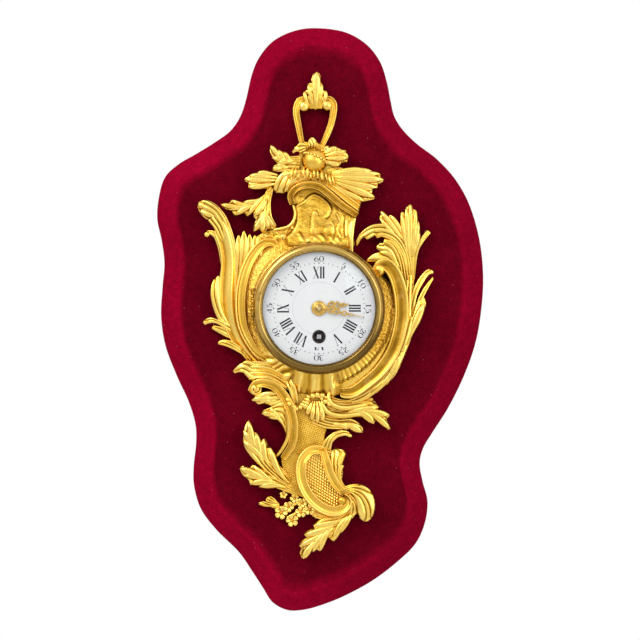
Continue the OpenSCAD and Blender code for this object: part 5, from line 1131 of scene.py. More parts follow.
def neck(part):
    """The chased neck under the shell, its scroll on the left and swirling leaves on the right."""
    patch(part, [[-16, -54], [5, -52], [9, -62], [7, -74], [4, -84], [3, -95], [-10, -97], [-20, -94],
                 [-19, -80], [-19, -66]], 6.4, chased, 60, 240, 0.3)
    scroll(part, [[-45, -55, 7], [-42, -50.2, 9], [-36, -48.9, 10], [-28, -51.7, 10.5], [-21.6, -59.6, 10.5],
                  [-17.6, -70, 10.5], [-16.5, -80, 10], [-18, -90, 9], [-24, -99, 7]],
           3.3, even=0.75, tone=0.15)
    scroll(part, [[-24.6, -58.6, 7], [-21.4, -66, 9.4], [-19.8, -75, 9.8], [-20.6, -85, 9.4],
                  [-24.6, -93, 8.4], [-28.4, -97.4, 6.8]], 1.5, PLAIN, even=0.7, tone=0.3)
    volute(part, -41.6, -53, 6, 4.4, way=-1)
    blade(part, [[3, -53], [7, -57], [15, -59.6], [25, -59.6], [35, -58.6]],
          [[1, -64], [9, -68], [20, -67.4], [30, -65], [40, -65.4]], [7, 8, 8, 7.4, 6.4], 0,
          form=[0.5, -0.6, 0.6, -0.6, 0.6, -0.6])
    blade(part, [[-20, -88], [-24, -77.5], [-28.5, -72.8], [-34, -71.4], [-37.4, -69.6]],
          [[-22, -60], [-28, -62.5], [-32, -64.6], [-36, -66.6], [-37.8, -68.6]], [7, 8, 7.4, 6], 4)
    blade(part, [[-22, -62], [-31, -64], [-36, -62.2], [-40, -63]],
          [[-26, -53.6], [-35, -54.4], [-41, -57], [-44.4, -60]], [8, 8.4, 7], 3)
    blade(part, [[1, -60], [10, -62.6], [20, -62], [29, -60.4], [35, -60.8], [39.4, -64.4], [37, -65.4],
                 [42, -67.6], [46.6, -70], [44.2, -72.4], [47, -78.6]],
          [[0, -70], [10, -72.8], [20, -71.6], [28, -71.8], [33, -73.4], [36.2, -76.2], [37.2, -72.8],
           [41, -76], [45.4, -80]], [7, 8.5, 8.5, 8, 6.6], 4)
    blade(part, [[-5, -66], [4, -71], [12, -72.6], [20, -72], [25, -74.2], [28.6, -78], [28.8, -81.4]],
          [[-5, -76], [4, -79], [12, -79.6], [18, -79.4], [20, -78], [24, -80], [24.6, -78.6], [28, -81]],
          [7, 8, 8, 6.6], 2)
    blade(part, [[0, -93], [4, -86], [9, -81.6], [15, -79.8], [19.6, -81], [22, -84.4]],
          [[8, -93], [9, -88], [12.5, -84.8], [17, -83.6], [21, -84.8]], [7, 8.5, 8.5, 6.6], 3)
    lobes(part, [(-20, -90), (-23, -78), (-28, -69.6), (-37.8, -69)],
          [(-32.6, -65), (-37.8, -69), (-34, -71.4)], 4.4, 8.2)
    lobes(part, [(-21, -68), (-26, -61), (-33, -58), (-44.4, -60.4)],
          [(-42, -57.4), (-44.4, -60.4), (-40.4, -63), (-35.6, -62.8)], 4.0, 8.4)
    lobes(part, [(3, -66), (15, -67.8), (27, -67), (38, -70), (46.6, -79.4)],
          [(39.2, -64.6), (46.4, -70), (46.6, -79.4), (36.2, -76)], 5.6, 9.4)
    lobes(part, [(-4, -71), (8, -75.6), (18, -75.6), (28.6, -81.4)],
          [(28.6, -78), (28.6, -81.4), (20, -79.2)], 4.8, 9)
    for swirl in ([[7, -54, 8], [6.4, -59, 10], [9.6, -63.4, 11], [17, -65.4, 10.8], [27, -64, 9.6],
                   [35, -62.4, 7.6]],
                  [[2.4, -57, 8], [2.6, -63.4, 10], [6.6, -68.6, 10.8], [15, -70.6, 10.6], [26, -69.6, 9.6],
                   [33, -71, 7.8]]):
        scroll(part, swirl, 1.9, PLAIN, even=0.7, tone=0.3)
    fan(part, (-2.6, -60.5), (5, 0),
        [(-9.8, -66.4), (-8, -70.4), (-5, -73.6), (-1.2, -75.6), (2.4, -74.4)], 4.0, 10.0)


def bead_garland(part):
    """Beads strung across the neck."""
    line = curve([[-20.5, -58, 9], [-17.6, -63.6, 9], [-13.4, -65.6, 8.8], [-9.4, -62.4, 9],
                  [-7, -58.4, 9.2], [-1.4, -57, 9.4], [3.4, -59, 9.2], [7.2, -63, 9]], 30)
    for k, (x, y, h) in enumerate(line):
        bead = (x + 0.8 * math.sin(3.7 * k), y + 0.9 * math.cos(2.9 * k), h + 0.6)
        ball(part, bead, 1.4 + 0.5 * math.sin(2.4 * k), 18, 0.85)


def foot_cartouche(part):
    """The scaled cartouche, its frame and the leaf that curls round its right."""
    patch(part, [[2, -92], [-8, -96], [-12, -106], [-10, -117], [-4, -126], [4, -131], [13, -132],
                 [18, -126], [14, -120], [16, -108], [14, -96]], 5.4, scales, 70, 300, 0.1)
    scroll(part, [[4, -93.5, 7], [-4.5, -93, 9], [-10.6, -99, 10.5], [-12, -107, 11], [-10.2, -116, 11],
                  [-5.2, -124.5, 11], [2, -130.6, 11], [10, -133, 11], [16.5, -131, 10.5],
                  [18.6, -126.5, 10], [15.6, -123.4, 9]], 3.7, flip=True, even=0.8)
    scroll(part, [[2.6, -93, 8], [5, -101, 9.5], [7.6, -109, 9.6], [11.6, -116, 9.4], [16.4, -121, 8.5]],
           3.2, even=0.8)
    patch(part, [[-24, -97], [-12, -95], [-13, -106], [-13, -116], [-9, -124], [-15, -122], [-20, -113],
                 [-24, -105]], 6, chased, 40, 160, 0.3)
    ball(part, (15, -126.2, 9.4), 3.0, 28, 0.8, hollow=0.55)
    blade(part, [[-4, -131], [4, -134.6], [12, -136], [19, -133.6], [23, -128]],
          [[-3, -138], [5, -140], [13, -141], [21, -139], [27, -131]], [6, 7.6, 8, 8, 7.6], 0, tip=0.0,
          form=[0.4, -0.6, 0.6, -0.6, 0.6, -0.5])
    blade(part, [[15, -120], [11.6, -113], [8.2, -105], [7.4, -97], [9, -91.6], [11, -91.4]],
          [[19, -119], [15.2, -113], [14.8, -108], [16.6, -103.4], [15.2, -102.6], [17, -98.4], [17.8, -95],
           [15.8, -92.6], [13, -92.4]], [7, 8.5, 8.5, 8, 6.5], 4)
    blade(part, [[12, -120], [18, -116.2], [25, -114.8], [31.5, -117], [35.6, -122.6], [36.9, -129.5],
                 [35.6, -136], [32.5, -139.6], [29.5, -140]],
          [[17, -123], [21, -121.4], [23.6, -124.6], [24.8, -129], [25.4, -133.4], [26.6, -137.4],
           [28, -139.4]],
          [8, 10, 11, 11, 10.5, 8.6], 3)
    volute(part, 30.6, -136.4, 6.5, 3.0)
    blade(part, [[20, -121], [24, -125], [26.4, -131], [24, -136]],
          [[17, -126], [20, -129], [20, -133], [17, -137]], [8, 9, 8.4, 7], 3)


def lower_left_leaves(part):
    """The two acanthus leaves on the lower left."""
    patch(part, [[-14, -116], [-20, -110], [-28, -104], [-32, -108], [-26, -115], [-18, -122]],
          4, plain, 24, 120)
    blade(part, [[-20, -119], [-30, -111.5], [-38, -104.6], [-44.5, -98], [-49, -91.4], [-50, -84.5],
                 [-48.8, -77.6], [-46.4, -73.6]],
          [[-13, -116], [-20, -108.6], [-27, -102], [-31, -97.4], [-31.6, -91], [-33, -91.6], [-34, -87.8],
           [-36, -85], [-38.8, -87.8], [-40.2, -86], [-40.8, -81.4], [-42.2, -82], [-43.4, -78.4],
           [-44.8, -77.2], [-46, -73.4]], [5, 8, 9, 8.5, 7.5, 6], 6)
    blade(part, [[-14, -124], [-22, -120.6], [-28, -118.4], [-34, -117.2], [-38.8, -118], [-41, -114.6],
                 [-45.2, -116.2], [-46.4, -113.2], [-50.2, -109.6], [-52.2, -105.6]],
          [[-13, -118], [-24, -112], [-34, -106.4], [-40, -104], [-43.2, -102.4], [-44.8, -104],
           [-47.4, -104.6], [-49.6, -103.4], [-51.6, -104]], [5, 7.5, 8, 7.5, 6.5], 5)
    lobes(part, [(-17, -117), (-30, -105.6), (-39, -95.6), (-44, -86), (-46.2, -73.8)],
          [(-49.8, -87), (-49.6, -80), (-46.2, -73.8), (-41, -81.6), (-36, -85.2), (-31.8, -91.4)], 5.4, 9.6)
    lobes(part, [(-15, -121), (-26, -115.6), (-38, -110), (-51.8, -104.8)],
          [(-43.4, -102.8), (-51.8, -104.8), (-49.8, -109.8), (-45.4, -115.2), (-39.4, -117)], 5, 9.2)


def flower_sprig(part):
    """The blossoms and buds on two stalks, low on the left."""
    stem(part, [[-8, -124, 2.5], [-16, -129, 3], [-27, -131, 3], [-36, -128, 3.5]], 1.1)
    stem(part, [[-6, -126, 2.5], [-14, -134, 3], [-21, -138, 3]], 1.1)
    blossoms = ((-25, -134.5, 4, 4.4), (-17.6, -139.6, 4, 4.2), (-20, -130.5, 4.5, 3.6),
                (-12, -134, 4.5, 3.8), (-11, -128, 4, 3.4), (-6, -132.4, 5, 3.8), (-1.4, -135.4, 4.5, 3.2),
                (-23.4, -122.6, 4.5, 2.6), (-16, -125, 4, 3.2))
    for k, blossom in enumerate(blossoms):
        flower(part, *blossom, 0.7 * k)
    blade(part, [[-26, -131], [-31, -130.6], [-36, -130.4], [-39.8, -129]],
          [[-26, -129], [-31, -128.4], [-36, -126.8], [-39.6, -127.8]], [3.4, 5, 5, 4], 2)
    blade(part, [[-27, -130], [-31, -128.4], [-35, -126.6], [-34.4, -124.4]],
          [[-26, -128.6], [-28.4, -125.8], [-31, -123.6], [-33.6, -123.6]], [3.4, 5, 5, 4], 2)


def tail_leaf(part):
    """The pointed leaf that ends the case."""
    blade(part, [[28, -133], [22, -137.8], [16.4, -144.2], [14.2, -148.2], [12, -147.8], [9.6, -153.2],
                 [6.6, -150.6], [3.6, -154], [0.6, -159.8], [-1.8, -157.2], [-3.8, -160.2], [-5.2, -158],
                 [-8, -162.6], [-10, -164.6]],
          [[18, -132], [10, -136.4], [3, -137.2], [-1, -139.6], [-4.2, -142.6], [-2.4, -144], [-7, -145.6],
           [-10, -148.6], [-8.2, -150.2], [-11.4, -152.6], [-13.2, -155.8], [-11.6, -157.6], [-12.8, -161],
           [-11, -164.6]], [6, 8, 8.5, 8, 7, 5.5], 6)
    lobes(part, [(22, -135), (11, -141.4), (1, -149), (-6.4, -157), (-10.6, -164.5)],
          [(-4, -142.6), (-9.8, -148.8), (-13, -156), (-10.6, -164.5), (-4, -160), (0.8, -159.4),
           (9.4, -153), (13.4, -148)], 5, 9.4)


for maker in (case_body, hood, fruit, crest_leaves, hanging_loop, left_spray, left_frond, right_spray, neck,
              bead_garland, foot_cartouche, lower_left_leaves, flower_sprig, tail_leaf):
    casting = Casting()
    maker(casting)
    finished(casting.object(maker.__name__ + "_casting", gilt), "clock", "gilt", maker.__name__)


# The velvet, stretched over the board and turned under at the back

BOARD = [[-3, 186.2], [16.4, 183.8], [31, 175.8], [40.4, 164], [45, 150.4], [47.4, 138.4], [50, 127.6],
         [56, 118.2], [65.4, 109], [78, 99.4], [90.6, 85.6], [100, 68.4], [106.6, 45.2], [109, 20],
         [107.2, -5], [103.2, -25.2], [95.8, -45.6], [85.8, -65.8], [75.2, -82.4], [69, -93], [66.8, -103],
         [68.8, -115], [72, -128], [70.2, -142.6], [63.8, -156.4], [51.4, -168.6], [35.2, -180.8],
         [16.8, -190.8], [0.6, -197.2], [-11.6, -200.2], [-21.6, -200], [-31, -194.8], [-37.2, -185.4],
         [-44.2, -174.6], [-53.4, -161.4], [-67.6, -147.4], [-78.2, -133.4], [-82.8, -118.5], [-83.2, -105],
         [-81.6, -90], [-82, -77], [-86.4, -62], [-94.2, -45], [-101.8, -25], [-104.8, -5], [-103.8, 15],
         [-102.6, 30], [-104.4, 45], [-107.4, 60], [-106, 75.5], [-102, 87.5], [-93, 96], [-81, 103],
         [-69.4, 110.2], [-59.2, 117.6], [-52.5, 127], [-48.5, 138.5], [-44.5, 155.5], [-39.5, 167],
         [-30.5, 177.5], [-17.5, 184]]
# The velvet's outer and inner sections at the board's edge: insets from the outline, depths from the wall
ROLL = [(13.2, 17.2), (12, 17.12), (10.6, 16.5), (8, 14.7), (5, 12.6), (2.5, 10.9), (0.8, 9.4), (0.1, 8.1),
        (-0.1, 6.4), (0.0, 3.4), (0.4, 1.7), (1.4, 0.95), (3, 0.82), (7, 0.82), (11.8, 0.82)]
LINING = [(11.8, 1.9), (3, 1.95), (1.3, 2.3), (1.12, 6), (1.12, 7.9), (12, 15.98)]
CASE_HOLE, FIELD_EDGE = 36.8, 12  # radius of the hole behind the case, and inset of the field's outer edge
FIELD_Z, LINING_Z = 17.15, 16.0
RIM_PLACES, FIELD_RINGS, ROLL_RINGS = 624, 26, 70


def sheet_area_of(skin):
    """The area in square metres of rings of points that are closed round."""
    lengths = np.linalg.norm(np.diff(skin, axis=0), axis=2)
    widths = np.linalg.norm(np.roll(skin, -1, axis=1) - skin, axis=2)
    return float((lengths * (widths[:-1] + widths[1:]) / 2).sum()) * 1e-6


def velvet_cover():
    """The cover and its area: a field round the case's hole, a bevel with painted sheen, an edge and a hem.
    """
    n = RIM_PLACES
    rim = closed(BOARD, n)[::-1]
    ahead = np.roll(rim, -14, axis=0) - np.roll(rim, 14, axis=0)
    inward = np.column_stack([-ahead[:, 1], ahead[:, 0]])
    inward /= np.linalg.norm(inward, axis=1, keepdims=True)
    edge = rim + inward * FIELD_EDGE
    start = edge / np.linalg.norm(edge, axis=1, keepdims=True) * CASE_HOLE

    def at(inset, z):
        return np.column_stack([rim + inward * inset, np.full(n, z)])

    def in_field(share, z):
        return np.column_stack([start + (edge - start) * share, np.full(n, z)])

    out = np.linspace(0, 0.94, FIELD_RINGS)
    roll = curve(ROLL, ROLL_RINGS)
    outer = np.stack([in_field(share, FIELD_Z) for share in out] + [at(i, z) for i, z in roll])
    inner = np.stack([at(i, z) for i, z in LINING] + [in_field(share, LINING_Z) for share in (0.6, 0.0)])
    field = FIELD_EDGE + (1 - out[:, None]) * np.linalg.norm(edge - start, axis=1)
    inset = np.vstack([field, np.repeat(roll[:, :1], n, axis=1), np.full((len(inner), n), 30.0)])
    depth = np.concatenate([np.full(FIELD_RINGS, VELVET), roll[:, 1], np.full(len(inner), VELVET)])[:, None]
    # painted sheen: the bevel lighter than the field, strongest on the outer slope
    bevel = smooth((16.4 - inset) / 4.8) * smooth((depth - 1.0) / 3) * (0.6 + 0.4 * smooth((depth - 7) / 3))
    part = Casting()
    # the painted sheen dimmer towards the right
    part.rings(np.concatenate([outer, inner]), bevel * (1 - 0.28 * smooth(rim[:, 0] / 60)), loop=True)
    return part.object("velvet_cover_sheet", velvet), sheet_area_of(outer)


sheet, sheet_area = velvet_cover()
finished(sheet, "clock", "velvet", "velvet_cover")


# Bezel and hands

# radius, height and painted shade of the bezel's turned section; the dark inner lip is a painted shadow line
BEZEL = [(37.7, 0.0, 0.8), (43.0, 0.0, 0.8), (43.1, 0.4, 0.2), (42.8, 0.7, 0.4), (42.4, 0.8, 0.6),
         (42.2, 1.1, 0.7), (42.2, 1.6, 0.4), (42.0, 2.4, 0.1), (41.5, 3.3, 0), (40.8, 4.1, 0),
         (39.8, 4.65, 0), (38.9, 4.75, 0), (38.2, 4.45, 0), (37.75, 3.7, 0.1), (37.45, 3.1, 0.3),
         (37.0, 2.8, 0.7), (36.62, 2.5, 1), (36.6, 2.0, 1), (37.7, 2.0, 1)]
BEZEL_BACK = PLATE + 6.4
HINGE_X, HINGE_Z = -43.2, PLATE + 4.5


def bezel_ring():
    """The turned ring, with painted shade below and on the right."""
    part = Casting()
    places = 288
    section = np.array(BEZEL)[::-1]
    c, s = np.cos(circle(places)), np.sin(circle(places))
    # painted shade: darker below and on the right
    painted_shade_below_right = 0.92 * smooth((-s - 0.1) / 0.7) + 0.55 * smooth((c + 0.1) / 0.8) * smooth((0.9 + s) / 0.6)
    part.rings(turned(section[:, :2], places, BEZEL_BACK), np.clip(section[:, 2:] + painted_shade_below_right, 0, 1), loop=True)
    return part.object("bezel_ring", bezel_brass)


def bezel_knuckle():
    """The bezel's hinge barrel and the web that joins it to the ring."""
    part = Casting()
    places = 28
    a = circle(places)
    barrel = [np.column_stack([HINGE_X + r * np.cos(a), np.full(places, y), HINGE_Z + r * np.sin(a)])
              for y, r in ((-6, 0.8), (-6, 1.4), (-5.8, 1.5), (5.8, 1.5), (6, 1.4), (6, 0.8))]
    part.rings(np.stack(barrel)[::-1], 0.4, loop=True)
    web = [(-44.3, 4.6), (-44.3, 7.2), (-42.2, 7.2), (-42.2, 4.6)]
    part.rings(np.stack([[[x, y, PLATE + z] for x, z in web] for y in (-5.9, 5.9)]), 0.4)
    return part.object("bezel_knuckle", seat_brass)


for piece in (bezel_ring(), bezel_knuckle()):
    finished(piece, "bezel_leaf", "bezel_brass", "bezel")


def outline_mesh(name, loops, thickness, bevel):
    """A flat pierced plate from closed outlines; an outline inside another is a hole."""
    data = bpy.data.curves.new(name, "CURVE")
    data.dimensions = "2D"
    data.fill_mode = "BOTH"
    data.extrude = (thickness / 2 - bevel) * MM
    data.bevel_depth = bevel * MM
    data.offset = -bevel * MM
    data.bevel_resolution = 2
    for loop in loops:
        spline = data.splines.new("POLY")
        spline.points.add(len(loop) - 1)
        spline.points.foreach_set("co", [c for x, y in loop for c in (x * MM, y * MM, 0, 1)])
        spline.use_cyclic_u = True
    shape = in_scene(name + "_outline", data)
    mesh = bpy.data.meshes.new_from_object(shape.evaluated_get(bpy.context.evaluated_depsgraph_get()))
    bpy.data.objects.remove(shape)
    return mesh


def hand_blade(name, loops, z, turn):
    """A hand's pierced blade, drawn pointing up and then turned to its hour."""
    mesh = outline_mesh(name, loops, HAND_THICKNESS, HAND_BEVEL)
    p = np.empty(len(mesh.vertices) * 3)
    mesh.vertices.foreach_get("co", p)
    p = p.reshape(-1, 3) / MM
    c, s = math.cos(turn), math.sin(turn)
    p = np.column_stack([p[:, 0] * c - p[:, 1] * s, p[:, 0] * s + p[:, 1] * c, p[:, 2] + z])
    mesh.vertices.foreach_set("co", to_frame(p).ravel())
    mesh.materials.clear()
    mesh.materials.append(hand_gilt)
    mesh.name = name
    mesh.update()
    return in_scene(name, mesh)


def oval(x, y, rx, ry, n=28):
    """n places round an ellipse."""
    t = circle(n)
    return np.column_stack([x + rx * np.cos(t), y + ry * np.sin(t)])


def mirrored(half, n):
    """A closed outline, the same on both sides of the hand's line, from its right half."""
    side = curve(half, n)
    return np.concatenate([side, side[::-1] * [-1, 1]])


def boss(name, r, z, rise, hole):
    """The stepped round seat of a hand."""
    part = Casting()
    profile = [(hole, 0), (r, 0), (r, 0.25 * rise), (0.94 * r, 0.55 * rise), (0.84 * r, 0.62 * rise),
               (0.80 * r, 0.45 * rise), (0.74 * r, 0.7 * rise), (0.55 * r, rise), (0.5 * r, 0.9 * rise),
               (hole + 0.15, 0.9 * rise), (hole, 0.7 * rise)]
    part.rings(turned(profile[::-1], 96, z), 0.0, loop=True)
    return part.object(name, hand_gilt)


HAND_THICKNESS, HAND_BEVEL = 0.4, 0.08
# Right halves of the hands' outlines, and their holes as middles and half axes
HOUR_OUTLINE = [(0.9, 4.3), (1.3, 5.6), (2.6, 6.6), (3.5, 8.2), (3.2, 10.0), (2.2, 10.8), (2.9, 11.8),
                (2.6, 13.2), (1.3, 13.9), (0.9, 14.6), (1.5, 15.6), (1.3, 16.8), (0.6, 17.6), (0.35, 19.0),
                (0.12, 20.5)]
HOUR_HOLES = [(1.5, 8.4, 0.75, 1.1), (-1.5, 8.4, 0.75, 1.1), (0, 11.9, 0.8, 1.2), (1.55, 12.2, 0.4, 0.6),
              (-1.55, 12.2, 0.4, 0.6), (0, 6.6, 0.5, 0.8), (0, 15.8, 0.45, 0.75)]
MINUTE_OUTLINE = [(0.7, 2.2), (0.7, 4.6), (1.5, 5.8), (2.1, 7.4), (1.9, 9.2), (1.2, 10.4), (1.7, 11.6),
                  (1.5, 13.0), (0.6, 14.2), (0.6, 15.0), (1.6, 16.0), (1.7, 17.4), (0.9, 18.6), (0.45, 19.6),
                  (0.9, 20.8), (0.8, 21.8), (0.35, 23.0), (0.25, 26.0), (0.1, 30.4)]
MINUTE_HOLES = [(0.9, 7.6, 0.5, 1.2), (-0.9, 7.6, 0.5, 1.2), (0, 11.8, 0.7, 1.1), (0, 17.0, 0.85, 1.0),
                (0, 21.3, 0.3, 0.5), (0, 5.2, 0.3, 0.5)]


def hand(name, body, outline, steps, holes, z, degrees, boss_size):
    """A hand's blade and boss, on its body."""
    loops = [mirrored(outline, steps)] + [oval(*hole) for hole in holes]
    pieces = [hand_blade(name + "_blade", loops, z, math.radians(degrees)), boss(name + "_boss", *boss_size)]
    for piece in pieces:
        finished(piece, body, "bezel_brass", name)


hand("hour_hand", "hour_work", HOUR_OUTLINE, steps=90, holes=HOUR_HOLES, z=PLATE + 6.9, degrees=-82,
     boss_size=(4.9, PLATE + 6.7, 0.75, 2.36))
hand("minute_hand", "minute_work", MINUTE_OUTLINE, steps=120, holes=MINUTE_HOLES, z=PLATE + 7.8,
     degrees=-101, boss_size=(2.6, PLATE + 7.6, 0.4, 1.72))


# Dial figures and winding hole

def bar(a, b, wide):
    """A stroke from a to b as a thin four-sided shape."""
    a, b = np.asarray(a, float), np.asarray(b, float)
    d = (b - a) / np.linalg.norm(b - a)
    s = np.array([-d[1], d[0]]) * wide / 2
    return [a + s, b + s, b - s, a - s]


def pen(points, widths, n):
    """A stroke of changing width along a curve, as joined four-sided shapes."""
    p = curve(points, n)
    w = np.interp(np.linspace(0, 1, n + 1), np.linspace(0, 1, len(widths)), widths)
    s = leftward(p) * w[:, None] / 2
    l, r = p + s, p - s
    return [[l[k], l[k + 1], r[k + 1], r[k]] for k in range(n)]


THICK, HAIR = 0.15, 0.035
LOW, HIGH = 0.012, 0.988  # heights of the serifs
# An hour letter's strokes, as start, end and width, its serifs, as start, end and height, and its advance
LETTERS = {
    "I": ([((0.09, 0), (0.09, 1), THICK)], [(-0.01, 0.19, LOW), (-0.01, 0.19, HIGH)], 0.25),
    "V": ([((0.06, 1), (0.3, 0), THICK), ((0.52, 1), (0.31, 0), HAIR)],
          [(-0.04, 0.16, HIGH), (0.43, 0.6, HIGH)], 0.64),
    "X": ([((0.06, 1), (0.46, 0), THICK), ((0.48, 1), (0.05, 0), HAIR)],
          [(-0.03, 0.14, LOW), (-0.03, 0.14, HIGH), (0.39, 0.56, LOW), (0.39, 0.56, HIGH)], 0.62),
}


def roman(text):
    """Strokes of an hour numeral, 1 high and centred, thick and thin as a pen draws them."""
    strokes, x = [], 0.0
    for letter in text:
        lines, serifs, advance = LETTERS[letter]
        strokes += [bar((x + a[0], a[1]), (x + b[0], b[1]), wide) for a, b, wide in lines]
        strokes += [bar((x + a, h), (x + b, h), HAIR) for a, b, h in serifs]
        x += advance
    middle = (x - 0.06) / 2
    return [[(p[0] - middle, p[1] - 0.5) for p in s] for s in strokes]


# The strokes of each minute figure: points and widths
DIGITS = {
    "0": [([(0, 0.5), (0.05, 0.15), (0.25, 0), (0.45, 0.15), (0.5, 0.5), (0.45, 0.85), (0.25, 1),
            (0.05, 0.85), (0, 0.5)], (0.13, 0.04, 0.13, 0.04, 0.13))],
    "1": [([(0.25, 0), (0.25, 1)], (0.13, 0.13)), ([(0.06, 0.8), (0.25, 1)], (0.04, 0.05)),
          ([(0.08, 0.01), (0.42, 0.01)], (0.04, 0.04))],
    "2": [([(0.04, 0.74), (0.12, 0.95), (0.28, 1), (0.45, 0.85), (0.4, 0.58), (0.2, 0.3), (0.02, 0.03)],
           (0.1, 0.05, 0.09, 0.14, 0.08, 0.04)),
          ([(0.02, 0.05), (0.25, 0.08), (0.48, 0.03)], (0.1, 0.12, 0.08)),
          ([(0.48, 0.03), (0.5, 0.25)], (0.05, 0.03))],
    "3": [([(0.05, 0.84), (0.2, 1), (0.4, 0.92), (0.42, 0.66), (0.2, 0.54)], (0.09, 0.05, 0.11, 0.12, 0.04)),
          ([(0.2, 0.54), (0.44, 0.44), (0.48, 0.18), (0.28, 0), (0.04, 0.08)],
           (0.04, 0.11, 0.14, 0.05, 0.1))],
    "4": [([(0.38, 0), (0.38, 1)], (0.12, 0.12)), ([(0.38, 1), (0, 0.3)], (0.05, 0.04)),
          ([(0, 0.28), (0.52, 0.28)], (0.05, 0.05))],
    "5": [([(0.1, 0.97), (0.08, 0.55)], (0.05, 0.05)), ([(0.08, 0.96), (0.42, 0.97)], (0.11, 0.09)),
          ([(0.08, 0.55), (0.28, 0.62), (0.47, 0.42), (0.44, 0.14), (0.22, 0), (0.03, 0.1)],
           (0.04, 0.06, 0.14, 0.13, 0.05, 0.09))],
    "6": [([(0.44, 0.95), (0.2, 0.82), (0.02, 0.42), (0.12, 0.06), (0.3, 0), (0.48, 0.2), (0.44, 0.45),
            (0.26, 0.56), (0.08, 0.4)], (0.04, 0.06, 0.14, 0.1, 0.04, 0.11, 0.13, 0.06, 0.03))],
}
HOURS = ("XII", "I", "II", "III", "IIII", "V", "VI", "VII", "VIII", "IX", "X", "XI")
FIGURES_Z = PLATE + 6.03
HOUR_RING, HOUR_HEIGHT = 23.4, 7.6  # radius to the middle of the figures, and their height
MINUTE_RING, MINUTE_HEIGHT, DOT_RING = 32.3, 3.4, 29.6
HOLE_CUT = 0.24  # the winding hole cuts VI at this share of its height from its middle


def above(shape, low):
    """What is left of a stroke past a height, where the winding hole interrupts it."""
    kept = []
    for a, b in zip(shape, shape[1:] + shape[:1]):
        if a[1] >= low:
            kept.append(a)
        if (a[1] - low) * (b[1] - low) < 0:
            k = (low - a[1]) / (b[1] - a[1])
            kept.append((a[0] + k * (b[0] - a[0]), low))
    return kept


def lay(part, shape, degrees, r, size, wide=1.0):
    """Lays a flat shape on the dial, standing out from the centre at a radius."""
    c, s = math.cos(math.radians(degrees)), math.sin(math.radians(degrees))
    drawn = [(x * size * wide, r + y * size) for x, y in shape]
    if drawn:
        part.add([(x * c + y * s, y * c - x * s, FIGURES_Z) for x, y in drawn], [list(range(len(drawn)))])


def hour_figures(part):
    """Roman hours, with VI cut short by the winding hole."""
    for k, text in enumerate(HOURS):
        for stroke in roman(text):
            if text == "VI":
                stroke = above(stroke, HOLE_CUT)
            lay(part, stroke[::-1], 30 * k, HOUR_RING, HOUR_HEIGHT, 0.92)


def minute_figures(part):
    """Minutes in fives, outside the hours."""
    pitch, bold = 0.66, 1.15
    for k in range(12):
        text = str(5 * k or 60)
        start = -pitch * (len(text) - 1) / 2 - 0.25
        for i, digit in enumerate(text):
            for points, widths in DIGITS[digit]:
                moved = [(x + start + pitch * i, y - 0.5) for x, y in points]
                for quad in pen(moved, [bold * w for w in widths], 40 if len(points) > 2 else 4):
                    lay(part, quad[::-1], 30 * k, MINUTE_RING, MINUTE_HEIGHT, 1.5)


def minute_dots(part):
    """A dot for each minute, larger at the hours."""
    for k in range(60):
        r = 0.46 if k % 5 == 0 else 0.32
        lay(part, oval(0, 0, r, r, 14), 6 * k, DOT_RING, 1.0)


def inner_circle(part):
    """A hairline inside the hours, broken by the winding hole."""
    ring, thin, clear = 17.2, 0.035, 4.7
    a = np.linspace(0, 2 * np.pi, 181)
    for one, two in zip(a[:-1], a[1:]):
        if math.hypot(ring * math.cos(one), ring * math.sin(one) - WINDING) > clear:
            corners = ((-thin, one), (thin, one), (thin, two), (-thin, two))
            points = [((ring + d) * math.cos(t), (ring + d) * math.sin(t), FIGURES_Z) for d, t in corners]
            part.add(points, [[0, 1, 2, 3]])


figures = Casting()
for draw in (hour_figures, minute_figures, minute_dots, inner_circle):
    draw(figures)
finished(figures.object("dial_figures", ink, solid=False), "clock", "enamel")

# A black sleeve behind the winding hole, a dark piece that stands for the shade down the hole, and the hole's
# rolled lip: radius and height pairs
WINDING_PIECES = {
    "winding_lip": [(3.3, 4.6), (3.25, 6.25), (3.4, 6.42), (3.8, 6.5), (4.2, 6.42), (4.4, 6.2), (4.4, 6.02),
                    (3.8, 6.0), (3.8, 4.6)],
    "winding_shade_sleeve": [(3.28, 5.6), (3.2, 4.6), (2.7, 3.4), (2.15, 2.6), (2.15, 2.2), (2.4, 2.2), (2.5, 2.6),
                       (3.3, 4.0), (3.45, 4.55)],
}
for name, profile in WINDING_PIECES.items():
    sleeve = Casting()
    sleeve.rings(turned(profile, 72, PLATE, WINDING), 0.5, loop=True)
    finished(sleeve.object(name, lacquer), "clock", "bezel_brass", "winding_grommet")


# Materials of the solids that stay as they are

FINISHES = {"wood": wood, "bezel_brass": bezel_brass, "movement_brass": movement_brass, "steel": steel,
            "blued_steel": blued, "enamel": enamel, "glass": glass, "gilt": gilt, "velvet": velvet}
# the ratchet wheel takes the winding square's material, and so its painted black shade in the well
OWN_FINISH = {"dial_ring": seat_brass, "winding_arbor": square_steel, "ratchet_wheel": square_steel}
for row in frame["record"]["subparts"]:
    solid = frame["nodes"][row["node"]]
    solid.data.materials.clear()
    solid.data.materials.append(OWN_FINISH.get(row["node"], FINISHES[row["material_slot"]]))


# Stage, light and camera

def floor_material():
    """Pale matt paper with a faint cloud."""
    look = new_look("pale_floor")
    return look.surface({"Base Color": look.tones(look.noise(3, 3), (0.60,) * 3, (0.64,) * 3),
                         "Roughness": 0.9})


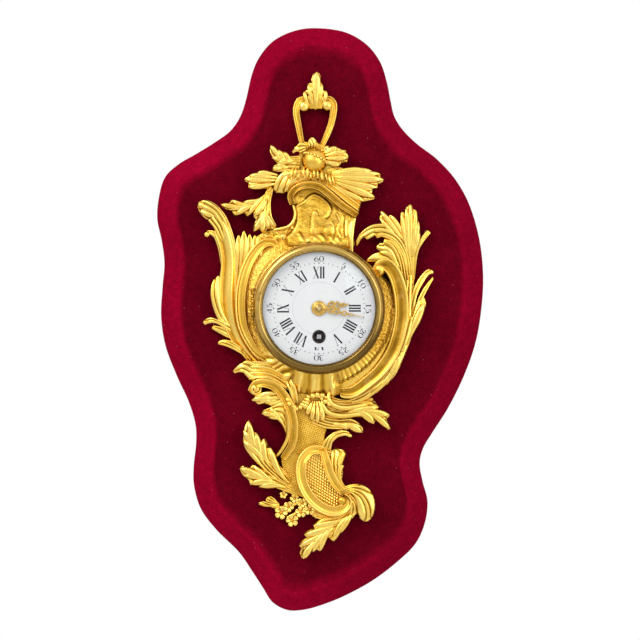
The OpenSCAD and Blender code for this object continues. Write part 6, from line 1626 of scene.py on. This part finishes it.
def studio_world():
    """A pale room: brighter above, and even behind the clock."""
    world = bpy.data.worlds.new("studio")
    look = Look(world, "Generated")
    room = look.ramp(look.spread(look.axis("Z"), 0, 1, -1, 1),
                     [(0.0, (0.36, 0.35, 0.33)), (0.38, (0.64, 0.63, 0.62)), (0.55, (0.95, 0.95, 0.95)),
                      (1.0, (1.12, 1.13, 1.15))])
    behind = look.spread(look.axis("Y"), 0, 1, 0.35, 0.75)
    look.feed(look.tree.nodes["Background"], {"Color": look.mixed(behind, room, (1.0, 1.0, 1.0)),
                                              "Strength": 1.0})
    return world


def softbox(name, at, size, power, colour):
    """A rectangular light turned to the clock."""
    data = bpy.data.lights.new(name, "AREA")
    data.shape = "RECTANGLE"
    data.size, data.size_y = size
    data.energy = power
    data.color = colour
    made = in_scene(name, data)
    made.location = at
    made.rotation_mode = "QUATERNION"
    made.rotation_quaternion = (LIT_PLACE - Vector(at)).to_track_quat("-Z", "Y")


FLOOR_Z, FLOOR_REACH, FLOOR_BACK = -0.9, 4, 2.4
corners = [(-FLOOR_REACH, -FLOOR_REACH), (FLOOR_REACH, -FLOOR_REACH), (FLOOR_REACH, FLOOR_BACK),
           (-FLOOR_REACH, FLOOR_BACK)]
floor_mesh = bpy.data.meshes.new("floor")
floor_mesh.from_pydata([(x, y, FLOOR_Z) for x, y in corners], [], [[0, 1, 2, 3]])
floor_mesh.materials.append(floor_material())
floor = in_scene("floor", floor_mesh)

bpy.context.scene.world = studio_world()

LIT_PLACE = Vector((0, -0.03, -0.16))
softbox("key_softbox", (-0.95, -1.05, 0.85), (0.9, 0.9), 18, (1.0, 0.98, 0.95))
softbox("window", (0.66, -1.30, 0.46), (0.6, 0.7), 3.8, (0.72, 0.86, 1.0))
softbox("right_fill", (1.4, -1.4, -0.1), (0.8, 1.4), 8, (1.0, 0.98, 0.96))

LENS, SENSOR = 135, 36
FRAME_WIDTH = 0.4224  # what the photograph shows across, at the velvet
FRAME_X, FRAME_Z = 0.00066, -0.1576  # its middle
camera = in_scene("camera", bpy.data.cameras.new("camera"))
bpy.context.scene.camera = camera
camera.data.lens = LENS
camera.data.sensor_width = SENSOR
camera.location = (FRAME_X, -VELVET * MM - FRAME_WIDTH * LENS / SENSOR, FRAME_Z)
camera.rotation_euler = (math.pi / 2, 0, 0)
bpy.context.scene.view_settings.view_transform = "Standard"
